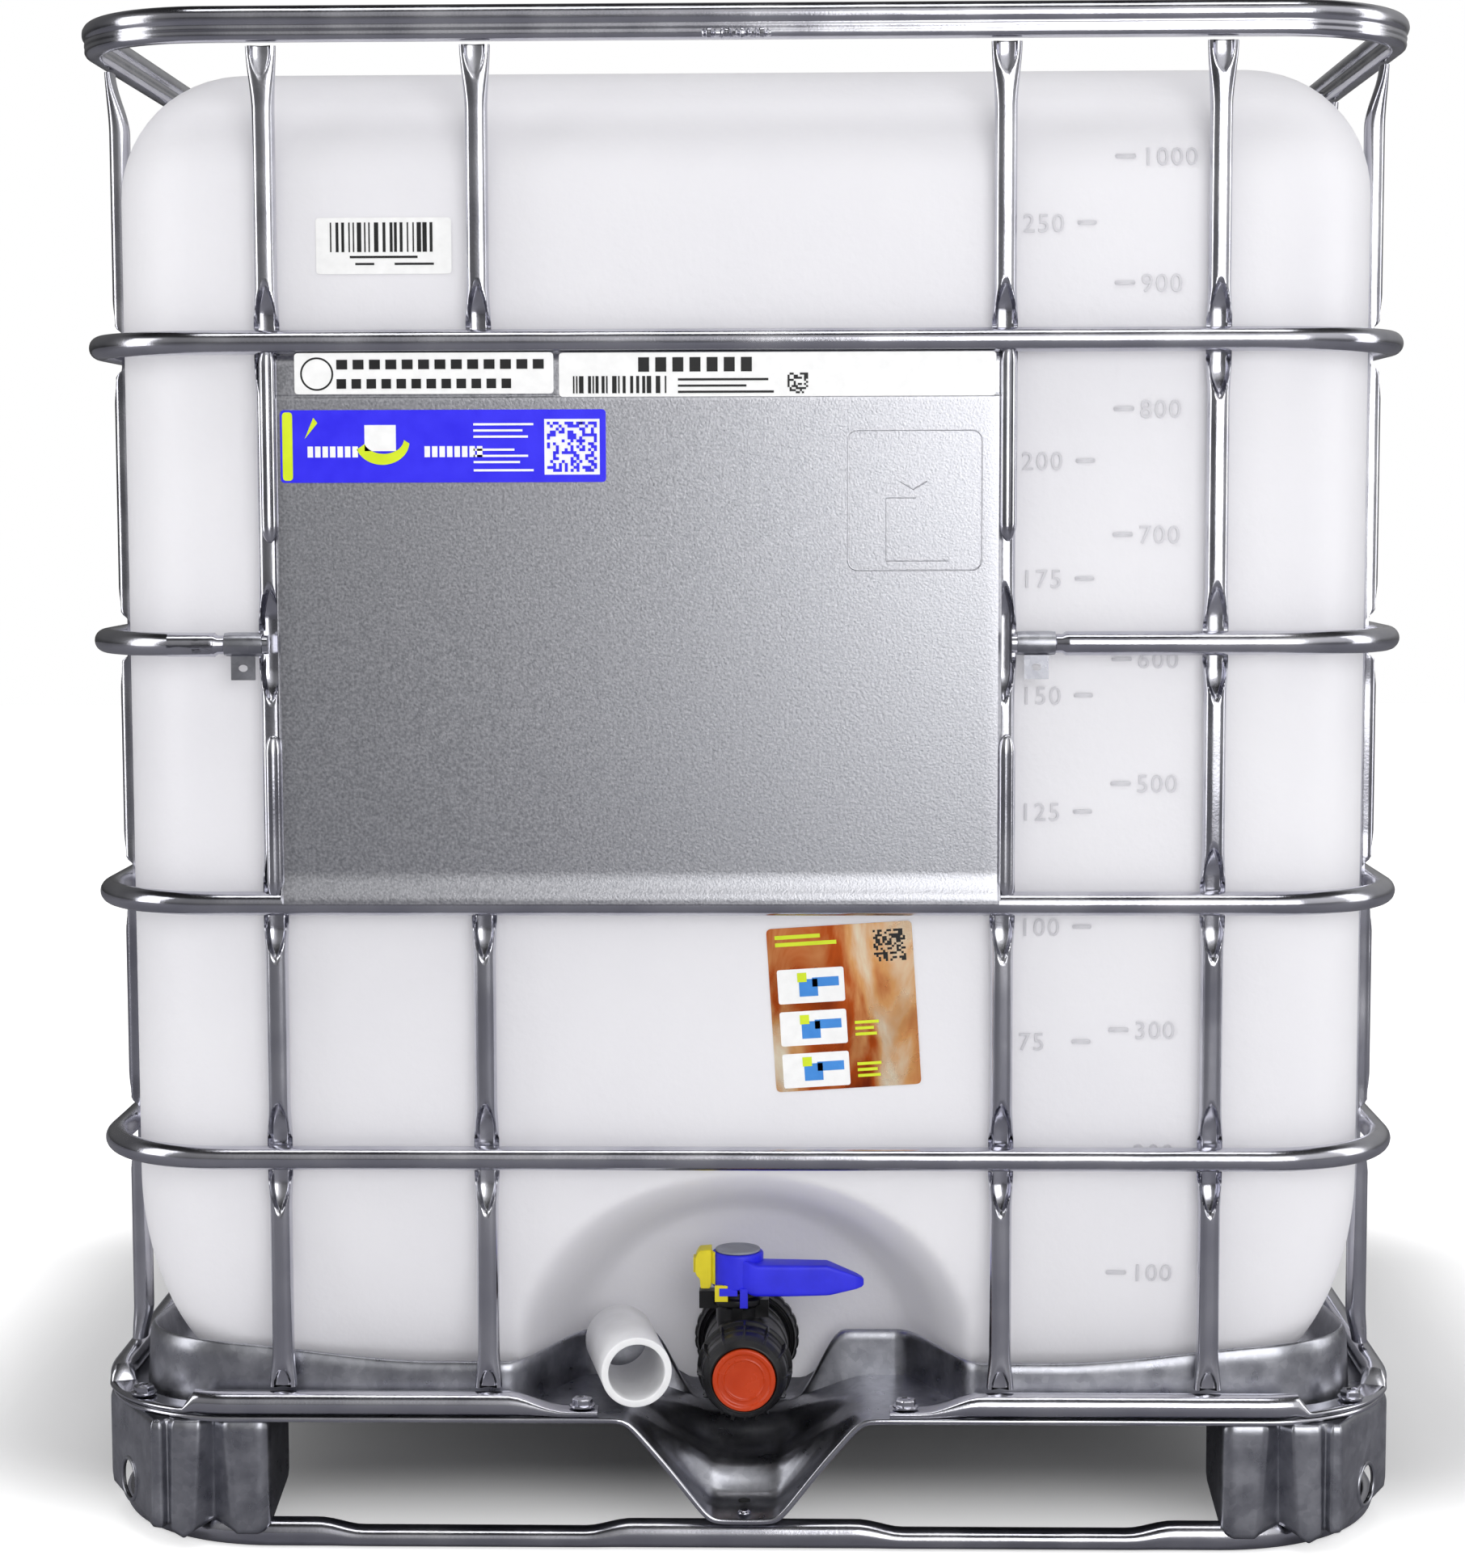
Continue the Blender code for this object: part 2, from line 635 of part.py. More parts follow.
def build_foot(name, outline, notches, finish=PRESSED_STEEL):
    """Stamped foot: an upright sheet round a plan outline, notched over the base tube."""
    loops = [[(x, y, z) for x, y in outline] for z in (FOOT_BOTTOM, FOOT_TOP)]
    points, faces = loft(loops, capped=False)
    foot = make_object(name, points, faces, finish)
    thicken(foot, FOOT_SHEET)
    for number, (low, high) in enumerate(notches):
        box_points, box_faces = box_mesh((*low, -0.010), (*high, TUBE_NOTCH_Z))
        cut(foot, cutter(f"{name}_notch_{number}", box_points, box_faces))
    return foot


def corner_foot_outline():
    """Front left foot, from its outer corner facet along the fluted front and back round the side."""
    x_out, y_out = -FOOT_OUT_X, -FOOT_OUT_Y
    inner_x, back_y = -0.364, -0.452
    return [
        (x_out, -0.512), (-0.4520, y_out + 0.0060), (-0.4470, y_out), (-0.4415, y_out + 0.0060),
        (-0.4380, y_out), (-0.4140, y_out), (-0.4070, y_out + 0.0120), (-0.3980, y_out + 0.0120),
        (-0.3910, y_out), (-0.3670, y_out), (inner_x, y_out + 0.0040), (inner_x, -0.505),
        (-0.3850, -0.480), (-0.4450, back_y), (-0.4950, back_y), (x_out, back_y - 0.004),
    ]


def build_feet():
    """Four fluted corner feet and three middle feet."""
    outline = corner_foot_outline()
    tube_outer_x, tube_outer_y = -BASE_HALF_X - 0.0004, -BASE_HALF_Y - 0.0004
    deep = 2 * BASE_HALF_WIDTH + 0.004
    notches = (
        ((-0.420, tube_outer_y), (-0.358, tube_outer_y + deep)),
        ((tube_outer_x, -0.458), (tube_outer_x + deep, -0.446)),
    )
    hole_from = Vector((-0.4980, -0.5775, FOOT_HOLE_Z))
    hole_to = Vector((-0.4560, -0.5320, FOOT_HOLE_Z))
    for side_y, end in ((1, "front"), (-1, "rear")):
        for side_x, side in ((1, "left"), (-1, "right")):
            flip = (side_x, side_y)
            placed = [(x * flip[0], y * flip[1]) for x, y in outline]
            boxes = []
            for low, high in notches:
                corners = np.array([low, high]) * flip
                boxes.append((corners.min(axis=0), corners.max(axis=0)))
            foot = build_foot(f"foot_{end}_{side}", placed, boxes)
            ends = [Vector((p.x * side_x, p.y * side_y, p.z)) for p in (hole_from, hole_to)]
            points, faces = rod_mesh(ends[0], ends[1], FOOT_HOLE_R, sides=16)
            cut(foot, cutter(f"foot_{end}_{side}_hole", points, faces))
    build_middle_feet()


def build_middle_feet():
    """Plain channel feet half way along the sides and the rear."""
    half_long, deep = 0.075, 0.095
    flute = [(-0.020, 0.0), (-0.013, 0.010), (0.013, 0.010), (0.020, 0.0)]
    shape = [(-half_long, 0.0), *flute, (half_long, 0.0), (half_long, deep), (-half_long, deep)]
    crossings = ((-0.081, -0.069), (-0.022, 0.022), (0.069, 0.081))
    reach = 2 * BASE_HALF_WIDTH + 0.004
    tube_x, tube_y = BASE_HALF_X + 0.0004, BASE_HALF_Y + 0.0004
    for name, side in (("foot_middle_left", -1), ("foot_middle_right", 1)):
        outline = [(side * (FOOT_OUT_X - inward), along) for along, inward in shape]
        across = sorted((side * tube_x, side * (tube_x - reach)))
        boxes = [((across[0], low), (across[1], high)) for low, high in crossings]
        build_foot(name, outline, boxes)
    outline = [(along, FOOT_OUT_Y - inward) for along, inward in shape]
    boxes = [((low, tube_y - reach), (high, tube_y)) for low, high in crossings]
    build_foot("foot_middle_rear", outline, boxes)


# ---------------------------------------------------------------- bottle and lid


def base_round(z, reach):
    """Inset of the bottle's lower edge at a height: an ellipse of the given reach."""
    rise = (BOTTLE_BOTTOM + BOTTLE_BASE_ROUND_Z - z) / BOTTLE_BASE_ROUND_Z
    return reach * (1.0 - math.sqrt(1.0 - float(np.clip(rise, 0.0, 0.995)) ** 2))


def top_round(z):
    """Inset of the bottle's upper edge at a height: a quarter circle."""
    rise = (z - BOTTLE_TOP + BOTTLE_TOP_ROUND) / BOTTLE_TOP_ROUND
    return BOTTLE_TOP_ROUND * (1.0 - math.sqrt(1.0 - float(np.clip(rise, 0.0, 1.0)) ** 2))


def niche_depth(x, z):
    """How far the valve niche is set back into the bottle's front at a place."""
    reach = math.hypot(x, NICHE_SQUEEZE * max(z - NICHE_Z, 0.0))
    return NICHE_DEPTH * float(smooth_step((NICHE_OUTER - reach) / (NICHE_OUTER - NICHE_INNER)))


def bottle_loop(z):
    """One level loop of the bottle's outer surface."""
    inset_x = base_round(z, BOTTLE_BASE_ROUND_X) + top_round(z)
    inset_y = base_round(z, BOTTLE_BASE_ROUND_Y) + top_round(z)
    front_x = (-NICHE_OUTER, -0.175, -0.155, -0.135, -0.115, -0.085, -0.045, 0.0)
    front_x += tuple(-x for x in reversed(front_x[:-1]))
    radius = max(BOTTLE_CORNER - max(inset_x, inset_y), 0.012)
    rows = plan_outline(BOTTLE_HALF_X - inset_x, BOTTLE_HALF_Y - inset_y, radius, front_x=front_x)
    loop = []
    for x, y, out_x, out_y in rows:
        if out_y < -0.99:
            y = max(y, -BOTTLE_HALF_Y + niche_depth(x, z))
        loop.append((x, y, z))
    return loop


def sump_of(x):
    """Share of the sump's depth at a place across the bottle's floor."""
    return float(np.clip((0.085 - abs(x)) / 0.040, 0.0, 1.0))


def floor_loop(inset, depth):
    """One loop of the bottle's floor, inset from its edge, sunk in the middle of the front."""
    edge = bottle_loop(BOTTLE_BOTTOM)
    half_x = max(x for x, y, z in edge)
    half_y = max(y for x, y, z in edge)
    loop = []
    for x, y, z in edge:
        on_front = y < 0.0 and abs(x) <= NICHE_OUTER
        inner_x = x if on_front else x * (half_x - inset) / half_x
        inner_y = y + inset if on_front else y * (half_y - inset) / half_y
        sunk = depth * sump_of(x) if on_front else 0.0
        loop.append((inner_x, inner_y, z - sunk))
    return loop


def bottle_shell(name):
    """Whole hollow moulding, open in the middle of its top."""
    heights = [0.128, 0.150, 0.180, 0.210, 0.238, 0.268, 0.300]
    heights += [BOTTLE_TOP - BOTTLE_TOP_ROUND * k for k in (1.0, 0.60, 0.28, 0.08, 0.0)]
    loops = [
        floor_loop(0.17, 0.0),
        floor_loop(0.06, BOTTLE_SUMP * 0.8),
        floor_loop(0.0, BOTTLE_SUMP),
    ]
    loops += [bottle_loop(z) for z in heights]
    plan = np.array(loops[-1])[:, :2]
    turns = np.arctan2(plan[:, 1] / BOTTLE_HALF_Y, plan[:, 0] / BOTTLE_HALF_X)
    mouth_r = NECK_R - BOTTLE_WALL
    loops.append([(mouth_r * math.cos(t), mouth_r * math.sin(t), BOTTLE_TOP) for t in turns])
    points, faces = loft(loops, capped=False)
    faces.append(tuple(reversed(range(len(loops[0])))))
    shell = make_object(name, points, faces, BOTTLE_PLASTIC)
    if shell.data.polygons[-1].normal.z > 0:
        shell.data.flip_normals()
    thicken(shell, BOTTLE_WALL)
    return shell


def build_bottle():
    """Bottle in joined pieces: its body, its roof round the mouth, its filling neck and its outlet sump."""
    body = bottle_shell("bottle")
    mouth_low, mouth_high = MOUTH_BOUNDS
    mouth_seat = box_mesh([v - GAP for v in mouth_low], [v + GAP for v in mouth_high])
    cut(body, cutter("bottle_mouth_seat", *mouth_seat))
    mouth = bottle_shell("bottle_mouth")
    cut(mouth, cutter("bottle_mouth_bounds", *box_mesh(mouth_low, mouth_high)), "INTERSECT")
    low, high = OUTLET_BOUNDS
    seat = box_mesh([v - GAP for v in low], [v + GAP for v in high])
    cut(body, cutter("bottle_outlet_seat", *seat))
    outlet = bottle_shell("bottle_outlet")
    cut(outlet, cutter("bottle_outlet_bounds", *box_mesh(low, high)), "INTERSECT")
    start = (0.0, NICHE_FACE_Y - 0.02, VALVE_Z)
    end = (0.0, NICHE_FACE_Y + 0.02, VALVE_Z)
    cut(outlet, cutter("outlet_hole", *rod_mesh(start, end, OUTLET_HOLE_R)))
    foot_z = BOTTLE_TOP + GAP
    mouth_r = NECK_R - BOTTLE_WALL
    turned("bottle_neck", [
        (NECK_R, foot_z), (NECK_R, NECK_TOP), (mouth_r, NECK_TOP), (mouth_r, foot_z),
    ], BOTTLE_PLASTIC, sides=40)


def ribbed(count, height, width=0.30):
    """Radius rule for raised ribs round a part: count ribs, each a share of its pitch wide."""
    def rule(angle, radius):
        place = (angle * count / (2.0 * math.pi)) % 1.0
        return radius + (height if place < width else 0.0)
    return rule


def build_lid():
    """Screw lid with its gasket, and the vent plug in its middle."""
    inner_top = LID_TOP - LID_SHEET
    turned("lid", [
        (LID_R, inner_top), (LID_R - 0.005, LID_TOP), (VENT_HOLE_R, LID_TOP), (VENT_HOLE_R, inner_top),
    ], BLACK_LID, sides=32)
    turned("lid_skirt", [
        (LID_R, LID_BOTTOM), (LID_R, inner_top - GAP), (LID_INNER_R, inner_top - GAP), (LID_INNER_R, LID_BOTTOM),
    ], BLACK_LID, sides=32)
    turned("lid_gasket", [
        (NECK_R - 0.0005, NECK_TOP + GAP), (NECK_R - 0.0005, inner_top - GAP),
        (NECK_R - 0.0060, inner_top - GAP), (NECK_R - 0.0060, NECK_TOP + GAP),
    ], RUBBER, sides=32)
    spigot_r = VENT_HOLE_R - 0.0008
    plug = [
        (0.0, LID_TOP - 0.012), (spigot_r, LID_TOP - 0.012), (spigot_r, LID_TOP + GAP),
        (VENT_FLANGE_R, LID_TOP + GAP), (VENT_FLANGE_R, LID_TOP + 0.0030),
        (VENT_FLANGE_R - 0.0020, LID_TOP + 0.0045), (0.0, LID_TOP + 0.0045),
    ]
    solid_turned("vent_plug", plug, RED_PLASTIC, (0.0, 0.0, 0.0), "Z", 24)


def solid_turned(name, profile, finish, centre, axis, sides):
    """Turn an open profile that starts and ends on the axis into a solid piece."""
    loops = []
    for radius, along in profile[1:-1]:
        loop = []
        for k in range(sides):
            turn = 2.0 * math.pi * k / sides
            across = radius * math.cos(turn)
            up = radius * math.sin(turn)
            if axis == "Z":
                loop.append((centre[0] + across, centre[1] + up, centre[2] + along))
            else:
                loop.append((centre[0] + across, centre[1] - along, centre[2] + up))
        loops.append(loop)
    points, faces = loft(loops)
    return make_object(name, points, faces, finish, centre)


# ---------------------------------------------------------------- valve


def build_valve_body():
    """Valve body: a bored barrel with a bonnet on top for the stem."""
    start, shoulder, end = (-y for y in BARREL_Y)
    neck_r = OUTLET_HOLE_R - 0.0008
    back = -NICHE_FACE_Y - 0.006
    barrel = [
        (VALVE_BORE_R, back), (neck_r, back), (neck_r, start), (BARREL_R, shoulder),
        (BARREL_R, end), (VALVE_BORE_R, end),
    ]
    body = turned("valve_body", barrel, BLACK_PLASTIC, "-Y", (0.0, 0.0, VALVE_Z), 24)
    foot = (STEM_X, STEM_Y, VALVE_Z + 0.0245)
    top = (STEM_X, STEM_Y, BONNET_TOP)
    cut(body, cutter("bonnet", *rod_mesh(foot, top, BONNET_R)), "UNION")
    hole_foot = (STEM_X, STEM_Y, VALVE_Z + 0.010)
    hole_top = (STEM_X, STEM_Y, BONNET_TOP + 0.01)
    cut(body, cutter("stem_hole", *rod_mesh(hole_foot, hole_top, STEM_R + 0.0006)))


def build_valve_parts():
    """Union ring, disc on its stem, outlet nut and orange seal cap."""
    centre = (0.0, 0.0, VALVE_Z)
    ring_back = -NICHE_FACE_Y + GAP
    turned("valve_union_ring", [
        (OUTLET_HOLE_R - GAP, ring_back), (UNION_R - 0.0015, ring_back), (UNION_R, ring_back + 0.004),
        (UNION_R - 0.0025, ring_back + UNION_DEEP), (OUTLET_HOLE_R - GAP, ring_back + UNION_DEEP),
    ], BLACK_PLASTIC, "-Y", centre, 32)
    back, front = -NUT_BACK_Y, -NUT_FRONT_Y
    turned("outlet_nut", [
        (NUT_BORE_R, back), (NUT_R - 0.002, back), (NUT_R, back + 0.005), (NUT_R, front - 0.006),
        (NUT_R - 0.005, front), (NUT_LIP_R, front), (NUT_LIP_R, front - NUT_LIP_DEEP),
        (NUT_BORE_R - 0.0040, front - NUT_LIP_DEEP), (NUT_BORE_R, front - NUT_LIP_DEEP - 0.0040),
    ], BLACK_PLASTIC, "-Y", centre, 36, ribbed_outer(12, 0.0020))
    solid_turned("outlet_cap", [
        (0.0, 0.5723), (0.0240, 0.5723), (0.0240, front + 0.0015), (0.0220, front + 0.0022),
        (0.0165, front + 0.0022), (0.0155, front - 0.0010), (0.0, front - 0.0010),
    ], ORANGE_PLASTIC, centre, "-Y", 32)
    disc_front = (STEM_X, STEM_Y - DISC_HALF, VALVE_Z)
    disc_back = (STEM_X, STEM_Y + DISC_HALF, VALVE_Z)
    points, faces = rod_mesh(disc_front, disc_back, DISC_R)
    disc = make_object("valve_disc", points, faces, GREY_PLASTIC, (STEM_X, STEM_Y, VALVE_Z))
    stem_foot = (STEM_X, STEM_Y, VALVE_Z + 0.012)
    stem_top = (STEM_X, STEM_Y, HUB_BOTTOM - GAP)
    cut(disc, cutter("stem", *rod_mesh(stem_foot, stem_top, STEM_R)), "UNION")


def ribbed_outer(count, height):
    """Radius rule that raises ribs only on the outer skin of the nut."""
    rule = ribbed(count, height)

    def outer_only(angle, radius):
        return rule(angle, radius) if radius > 0.031 else radius
    return outer_only


def build_handle():
    """Lever handle with a round hub, and the safety lock beside it."""
    pivot = (STEM_X, STEM_Y, HUB_BOTTOM)
    hub_points, hub_faces = rod_mesh((STEM_X, STEM_Y, HUB_BOTTOM), (STEM_X, STEM_Y, HUB_TOP), HUB_R)
    handle = make_object("valve_handle", hub_points, hub_faces, BLUE_PLASTIC, pivot)
    lever = []
    for run, y, half_deep, low, high in (
        (0.006, STEM_Y - 0.005, 0.0130, 0.1832, 0.2080),
        (0.066, STEM_Y - 0.006, 0.0110, 0.1850, 0.2075),
        (0.100, STEM_Y - 0.006, 0.0050, 0.1890, 0.1985),
    ):
        x = STEM_X + run
        near, far = y - half_deep, y + half_deep
        lever.append([(x, near, low), (x, far, low), (x, far, high), (x, near, high)])
    cut(handle, cutter("lever", *loft(lever)), "UNION")
    build_lock()


def build_lock():
    """Yellow safety lock: a clip against the hub's left side with a tongue reaching down."""
    hub_left = STEM_X - HUB_R - GAP
    outline = [
        (hub_left - 0.0130, 0.1950), (hub_left - 0.0130, 0.2080), (hub_left - 0.0100, 0.2120),
        (hub_left, 0.2130), (hub_left, 0.1845), (hub_left - 0.0015, 0.1820),
        (hub_left - 0.0090, 0.1820), (hub_left - 0.0100, 0.1900),
    ]
    loops = [[(x, STEM_Y + side, z) for x, z in outline] for side in (-LOCK_HALF, LOCK_HALF)]
    points, faces = loft(loops)
    return make_object("safety_lock", points, faces, YELLOW_PLASTIC, (hub_left, STEM_Y, 0.1950))


def build_loose_tube():
    """Short white plastic tube that lies on the deck beside the valve, notched at its rear end."""
    profile = [(LOOSE_TUBE_BORE, 0.0), (LOOSE_TUBE_R, 0.0), (LOOSE_TUBE_R, LOOSE_TUBE_LENGTH),
               (LOOSE_TUBE_BORE, LOOSE_TUBE_LENGTH)]
    heading = Vector((math.sin(LOOSE_TUBE_YAW), math.cos(LOOSE_TUBE_YAW), 0.0))
    across = Vector((heading.y, -heading.x, 0.0))
    start = Vector(LOOSE_TUBE_FRONT)
    sides = 24
    sections = []
    for k in range(sides):
        turn = 2.0 * math.pi * k / sides
        spoke = across * math.cos(turn) + Vector((0.0, 0.0, math.sin(turn)))
        sections.append([tuple(start + heading * along + spoke * radius) for radius, along in profile])
    points, faces = loft(sections, closed=True)
    return make_object("loose_tube", points, faces, WHITE_PLASTIC, LOOSE_TUBE_FRONT)


# ---------------------------------------------------------------- build


def clear_scene():
    """Remove every object already in the scene."""
    for old in list(bpy.data.objects):
        bpy.data.objects.remove(old, do_unlink=True)


def main():
    """Build every piece of the container."""
    clear_scene()
    build_base_ring()
    build_feet()
    build_deck()
    build_bottom_rail()
    build_rail_bolts()
    for name, z in RING_HEIGHTS.items():
        if name == "cage_ring_3":
            build_open_ring(name, z)
        else:
            build_plain_ring(name, z)
    build_top_ring()
    build_posts()
    build_cross_bars()
    build_label_plate()
    build_clamps()
    build_bottle()
    build_lid()
    build_valve_body()
    build_valve_parts()
    build_handle()
    build_loose_tube()


main()
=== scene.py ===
"""The look of an intermediate bulk container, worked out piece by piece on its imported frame.

A blow-moulded bottle stands in a welded cage of galvanised tube on a pressed steel pallet.
Lengths are in metres, +Z is up and the outlet valve faces -Y.
"""

import logging
import math
from dataclasses import dataclass
from enum import Enum
from typing import Any, Callable, Mapping, Sequence

import bmesh
import bpy
import numpy as np
from mathutils import Matrix, Vector


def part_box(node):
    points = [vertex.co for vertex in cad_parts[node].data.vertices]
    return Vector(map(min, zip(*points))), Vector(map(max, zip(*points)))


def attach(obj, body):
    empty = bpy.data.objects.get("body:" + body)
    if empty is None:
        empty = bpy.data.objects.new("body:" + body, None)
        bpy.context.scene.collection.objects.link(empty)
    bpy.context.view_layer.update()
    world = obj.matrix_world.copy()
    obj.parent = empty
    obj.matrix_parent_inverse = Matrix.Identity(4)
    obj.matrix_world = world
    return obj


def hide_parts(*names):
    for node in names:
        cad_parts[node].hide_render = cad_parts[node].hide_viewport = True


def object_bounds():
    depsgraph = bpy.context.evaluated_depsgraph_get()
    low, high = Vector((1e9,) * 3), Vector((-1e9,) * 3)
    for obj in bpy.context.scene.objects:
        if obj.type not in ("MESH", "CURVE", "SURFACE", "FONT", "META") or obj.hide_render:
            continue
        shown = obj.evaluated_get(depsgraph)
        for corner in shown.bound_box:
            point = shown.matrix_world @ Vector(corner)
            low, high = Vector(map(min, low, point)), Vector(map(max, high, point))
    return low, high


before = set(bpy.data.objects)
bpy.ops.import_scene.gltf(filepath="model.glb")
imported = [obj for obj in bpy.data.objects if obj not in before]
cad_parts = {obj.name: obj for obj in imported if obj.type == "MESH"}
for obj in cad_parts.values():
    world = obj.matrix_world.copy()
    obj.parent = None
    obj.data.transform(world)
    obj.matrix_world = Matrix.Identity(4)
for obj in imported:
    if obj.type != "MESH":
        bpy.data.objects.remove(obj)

Array = np.ndarray
CAD_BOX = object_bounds()
LOG = logging.getLogger("container")


class Slot(Enum):
    """Material slots of the record, which the finishes paint."""

    TUBE = "galvanised_tube"
    SHEET = "pressed_sheet"
    LABEL = "label_sheet"
    BOTTLE = "natural_polyethylene"
    BLACK = "black_plastic"
    BLUE = "blue_plastic"
    YELLOW = "yellow_plastic"
    ORANGE = "orange_plastic"
    GREY = "grey_plastic"
    WHITE = "white_plastic"
    RED = "red_plastic"
    RUBBER = "gasket_rubber"


class Axis(Enum):
    """Direction that a turned part's axis runs in: across, second across, along."""

    UP = ((1.0, 0.0, 0.0), (0.0, 1.0, 0.0), (0.0, 0.0, 1.0))
    FORWARD = ((1.0, 0.0, 0.0), (0.0, 0.0, 1.0), (0.0, -1.0, 0.0))


# ------------------------------------------------------------------ numbers and shapes


def ease(value: Array | float) -> Array:
    """Three squares less two cubes of the value held between 0 and 1."""
    t = np.clip(value, 0.0, 1.0)
    return t * t * (3.0 - 2.0 * t)


def srgb(code: str) -> tuple[float, float, float, float]:
    """Turn a colour written as six hex digits into linear light.

    Args:
        code: the sRGB colour, such as "C8CACF".

    Returns:
        Linear red, green and blue, and an alpha of 1.
    """
    parts = np.array([int(code[k : k + 2], 16) for k in (0, 2, 4)]) / 255.0
    linear = np.where(parts <= 0.04045, parts / 12.92, ((parts + 0.055) / 1.055) ** 2.4)
    return (*(float(v) for v in linear), 1.0)


def span(node: str) -> tuple[Array, Array]:
    """Lowest and highest corners of a CAD node as arrays."""
    low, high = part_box(node)
    return np.array(low), np.array(high)


def middle(node: str) -> Array:
    """Middle of a CAD node's box."""
    low, high = span(node)
    return (low + high) / 2.0


def superellipse(half_across: float, half_up: float, sides: int, power: float = 2.0) -> Array:
    """Closed outline whose coordinates are the cosine and sine raised to 2 / power.

    Args:
        half_across: half width.
        half_up: half height.
        sides: number of points.
        power: 2 for an ellipse, more for squarer.

    Returns:
        Points as (across, up) rows.
    """
    turn = np.linspace(0.0, 2.0 * math.pi, sides, endpoint=False)
    shape = np.column_stack((np.cos(turn), np.sin(turn)))
    shape = np.sign(shape) * np.abs(shape) ** (2.0 / power)
    return shape * (half_across, half_up)


def soften(
    corners: Sequence[Sequence[float]], radius: Array | float, steps: int = 5, closed: bool = True
) -> Array:
    """Round the corners of a polyline.

    Each corner becomes a quadratic curve: (1 - t) squared of a point before it, 2 t (1 - t) of the
    corner and t squared of a point after it. Both points lie radius along the legs, or 0.45 of a
    short leg.

    Args:
        corners: the polyline's corners.
        radius: how far from a corner its curve starts.
        steps: points on each curve.
        closed: whether the last corner joins the first.

    Returns:
        The rounded polyline.
    """
    corner = np.asarray(corners, dtype=float)
    reach = np.broadcast_to(np.asarray(radius, dtype=float), len(corner))[:, None]
    legs = [np.roll(corner, shift, axis=0) - corner for shift in (1, -1)]
    ends = []
    for leg in legs:
        if not closed:
            leg[[0, -1]] = 0.0
        length = np.linalg.norm(leg, axis=1, keepdims=True)
        ends.append(corner + leg / np.maximum(length, 1e-9) * np.minimum(reach, 0.45 * length))
    t = np.linspace(0.0, 1.0, steps)[None, :, None]
    curve = (1 - t) ** 2 * ends[0][:, None] + 2 * t * (1 - t) * corner[:, None] + t**2 * ends[1][:, None]
    return curve.reshape(-1, corner.shape[1])


def resample(points: Array, count: int, closed: bool = True) -> Array:
    """Space points evenly along a polyline, each coordinate interpolated over the length so far."""
    line = np.vstack((points, points[:1])) if closed else points
    run = np.concatenate(([0.0], np.cumsum(np.linalg.norm(np.diff(line, axis=0), axis=1))))
    places = np.linspace(0.0, run[-1], count, endpoint=not closed)
    return np.column_stack([np.interp(places, run, line[:, k]) for k in range(line.shape[1])])


def rounded_rectangle(
    half_x: Array | float,
    half_y: Array | float,
    radius: Array | float,
    counts: tuple[int, int, int, int] = (48, 56, 48, 56),
    turns: int = 13,
    crowd: float = 0.0,
) -> tuple[Array, Array]:
    """Rounded rectangles, anticlockwise from the left end of the front side.

    A side's stations are its middle plus the side's direction times u, from -1 to 1, times the
    straight half length. A corner's are its centre plus the radius times cosine and sine. The
    front side's u is (1 - crowd) u + crowd u cubed, which draws its stations to the middle.

    Args:
        half_x: half widths, one for each row.
        half_y: half depths, one for each row.
        radius: corner radii, one for each row.
        counts: stations on the front, right, rear and left sides.
        turns: stations on a corner.
        crowd: how strongly the front side's stations gather in the middle.

    Returns:
        Places as rows x stations x 2, and the outward directions as stations x 2.
    """
    wide, deep, round_ = (
        np.atleast_1d(np.asarray(v, dtype=float))[:, None] for v in (half_x, half_y, radius)
    )
    wide, deep, round_ = np.broadcast_arrays(wide, deep, round_)
    xs, ys, outs = [], [], []
    for number, count in enumerate(counts):
        start = math.radians(-90.0 + 90.0 * number)
        out = np.array((math.cos(start), math.sin(start)))
        along = np.array((-out[1], out[0]))
        u = np.linspace(-1.0, 1.0, count + 2)[1:-1]
        if number == 0:
            u = (1.0 - crowd) * u + crowd * u**3
        angle = start + np.linspace(0.0, math.pi / 2.0, turns)
        corner = out + along
        xs += [
            out[0] * wide + along[0] * u * (wide - round_),
            corner[0] * (wide - round_) + round_ * np.cos(angle)
        ]
        ys += [
            out[1] * deep + along[1] * u * (deep - round_),
            corner[1] * (deep - round_) + round_ * np.sin(angle)
        ]
        outs += [np.tile(out, (count, 1)), np.column_stack((np.cos(angle), np.sin(angle)))]
    return np.stack((np.concatenate(xs, axis=1), np.concatenate(ys, axis=1)), axis=-1), np.vstack(outs)


def carry(path: Array, outward: Array, section: Array, closed: bool = True) -> Array:
    """Carry a section along a path.

    A point is the path's place plus its outward direction times the section's first coordinate,
    plus the cross product of outward and the path's heading times the second.

    Args:
        path: places as n x 3.
        outward: outward unit directions as n x 3.
        section: one section as m x 2, or one for each place as n x m x 2.
        closed: whether the path joins its own start.

    Returns:
        Points as n x m x 3.
    """
    if closed:
        heading = np.roll(path, -1, axis=0) - np.roll(path, 1, axis=0)
    else:
        heading = np.gradient(path, axis=0)
    heading = heading / np.linalg.norm(heading, axis=1, keepdims=True)
    rise = np.cross(outward, heading)
    shape = np.broadcast_to(section, (len(path), *np.shape(section)[-2:]))
    return path[:, None] + shape[..., :1] * outward[:, None] + shape[..., 1:] * rise[:, None]


def level(places: Array, outs: Array, height: Array | float) -> tuple[Array, Array]:
    """Give plan places and directions their height, as n x 3 each."""
    tall = np.broadcast_to(np.asarray(height, dtype=float), len(places))
    return np.column_stack((places, tall)), np.column_stack((outs, np.zeros(len(outs))))


def forwards(count: int) -> Array:
    """The forward direction, once for each point of a path."""
    return np.tile((0.0, -1.0, 0.0), (count, 1))


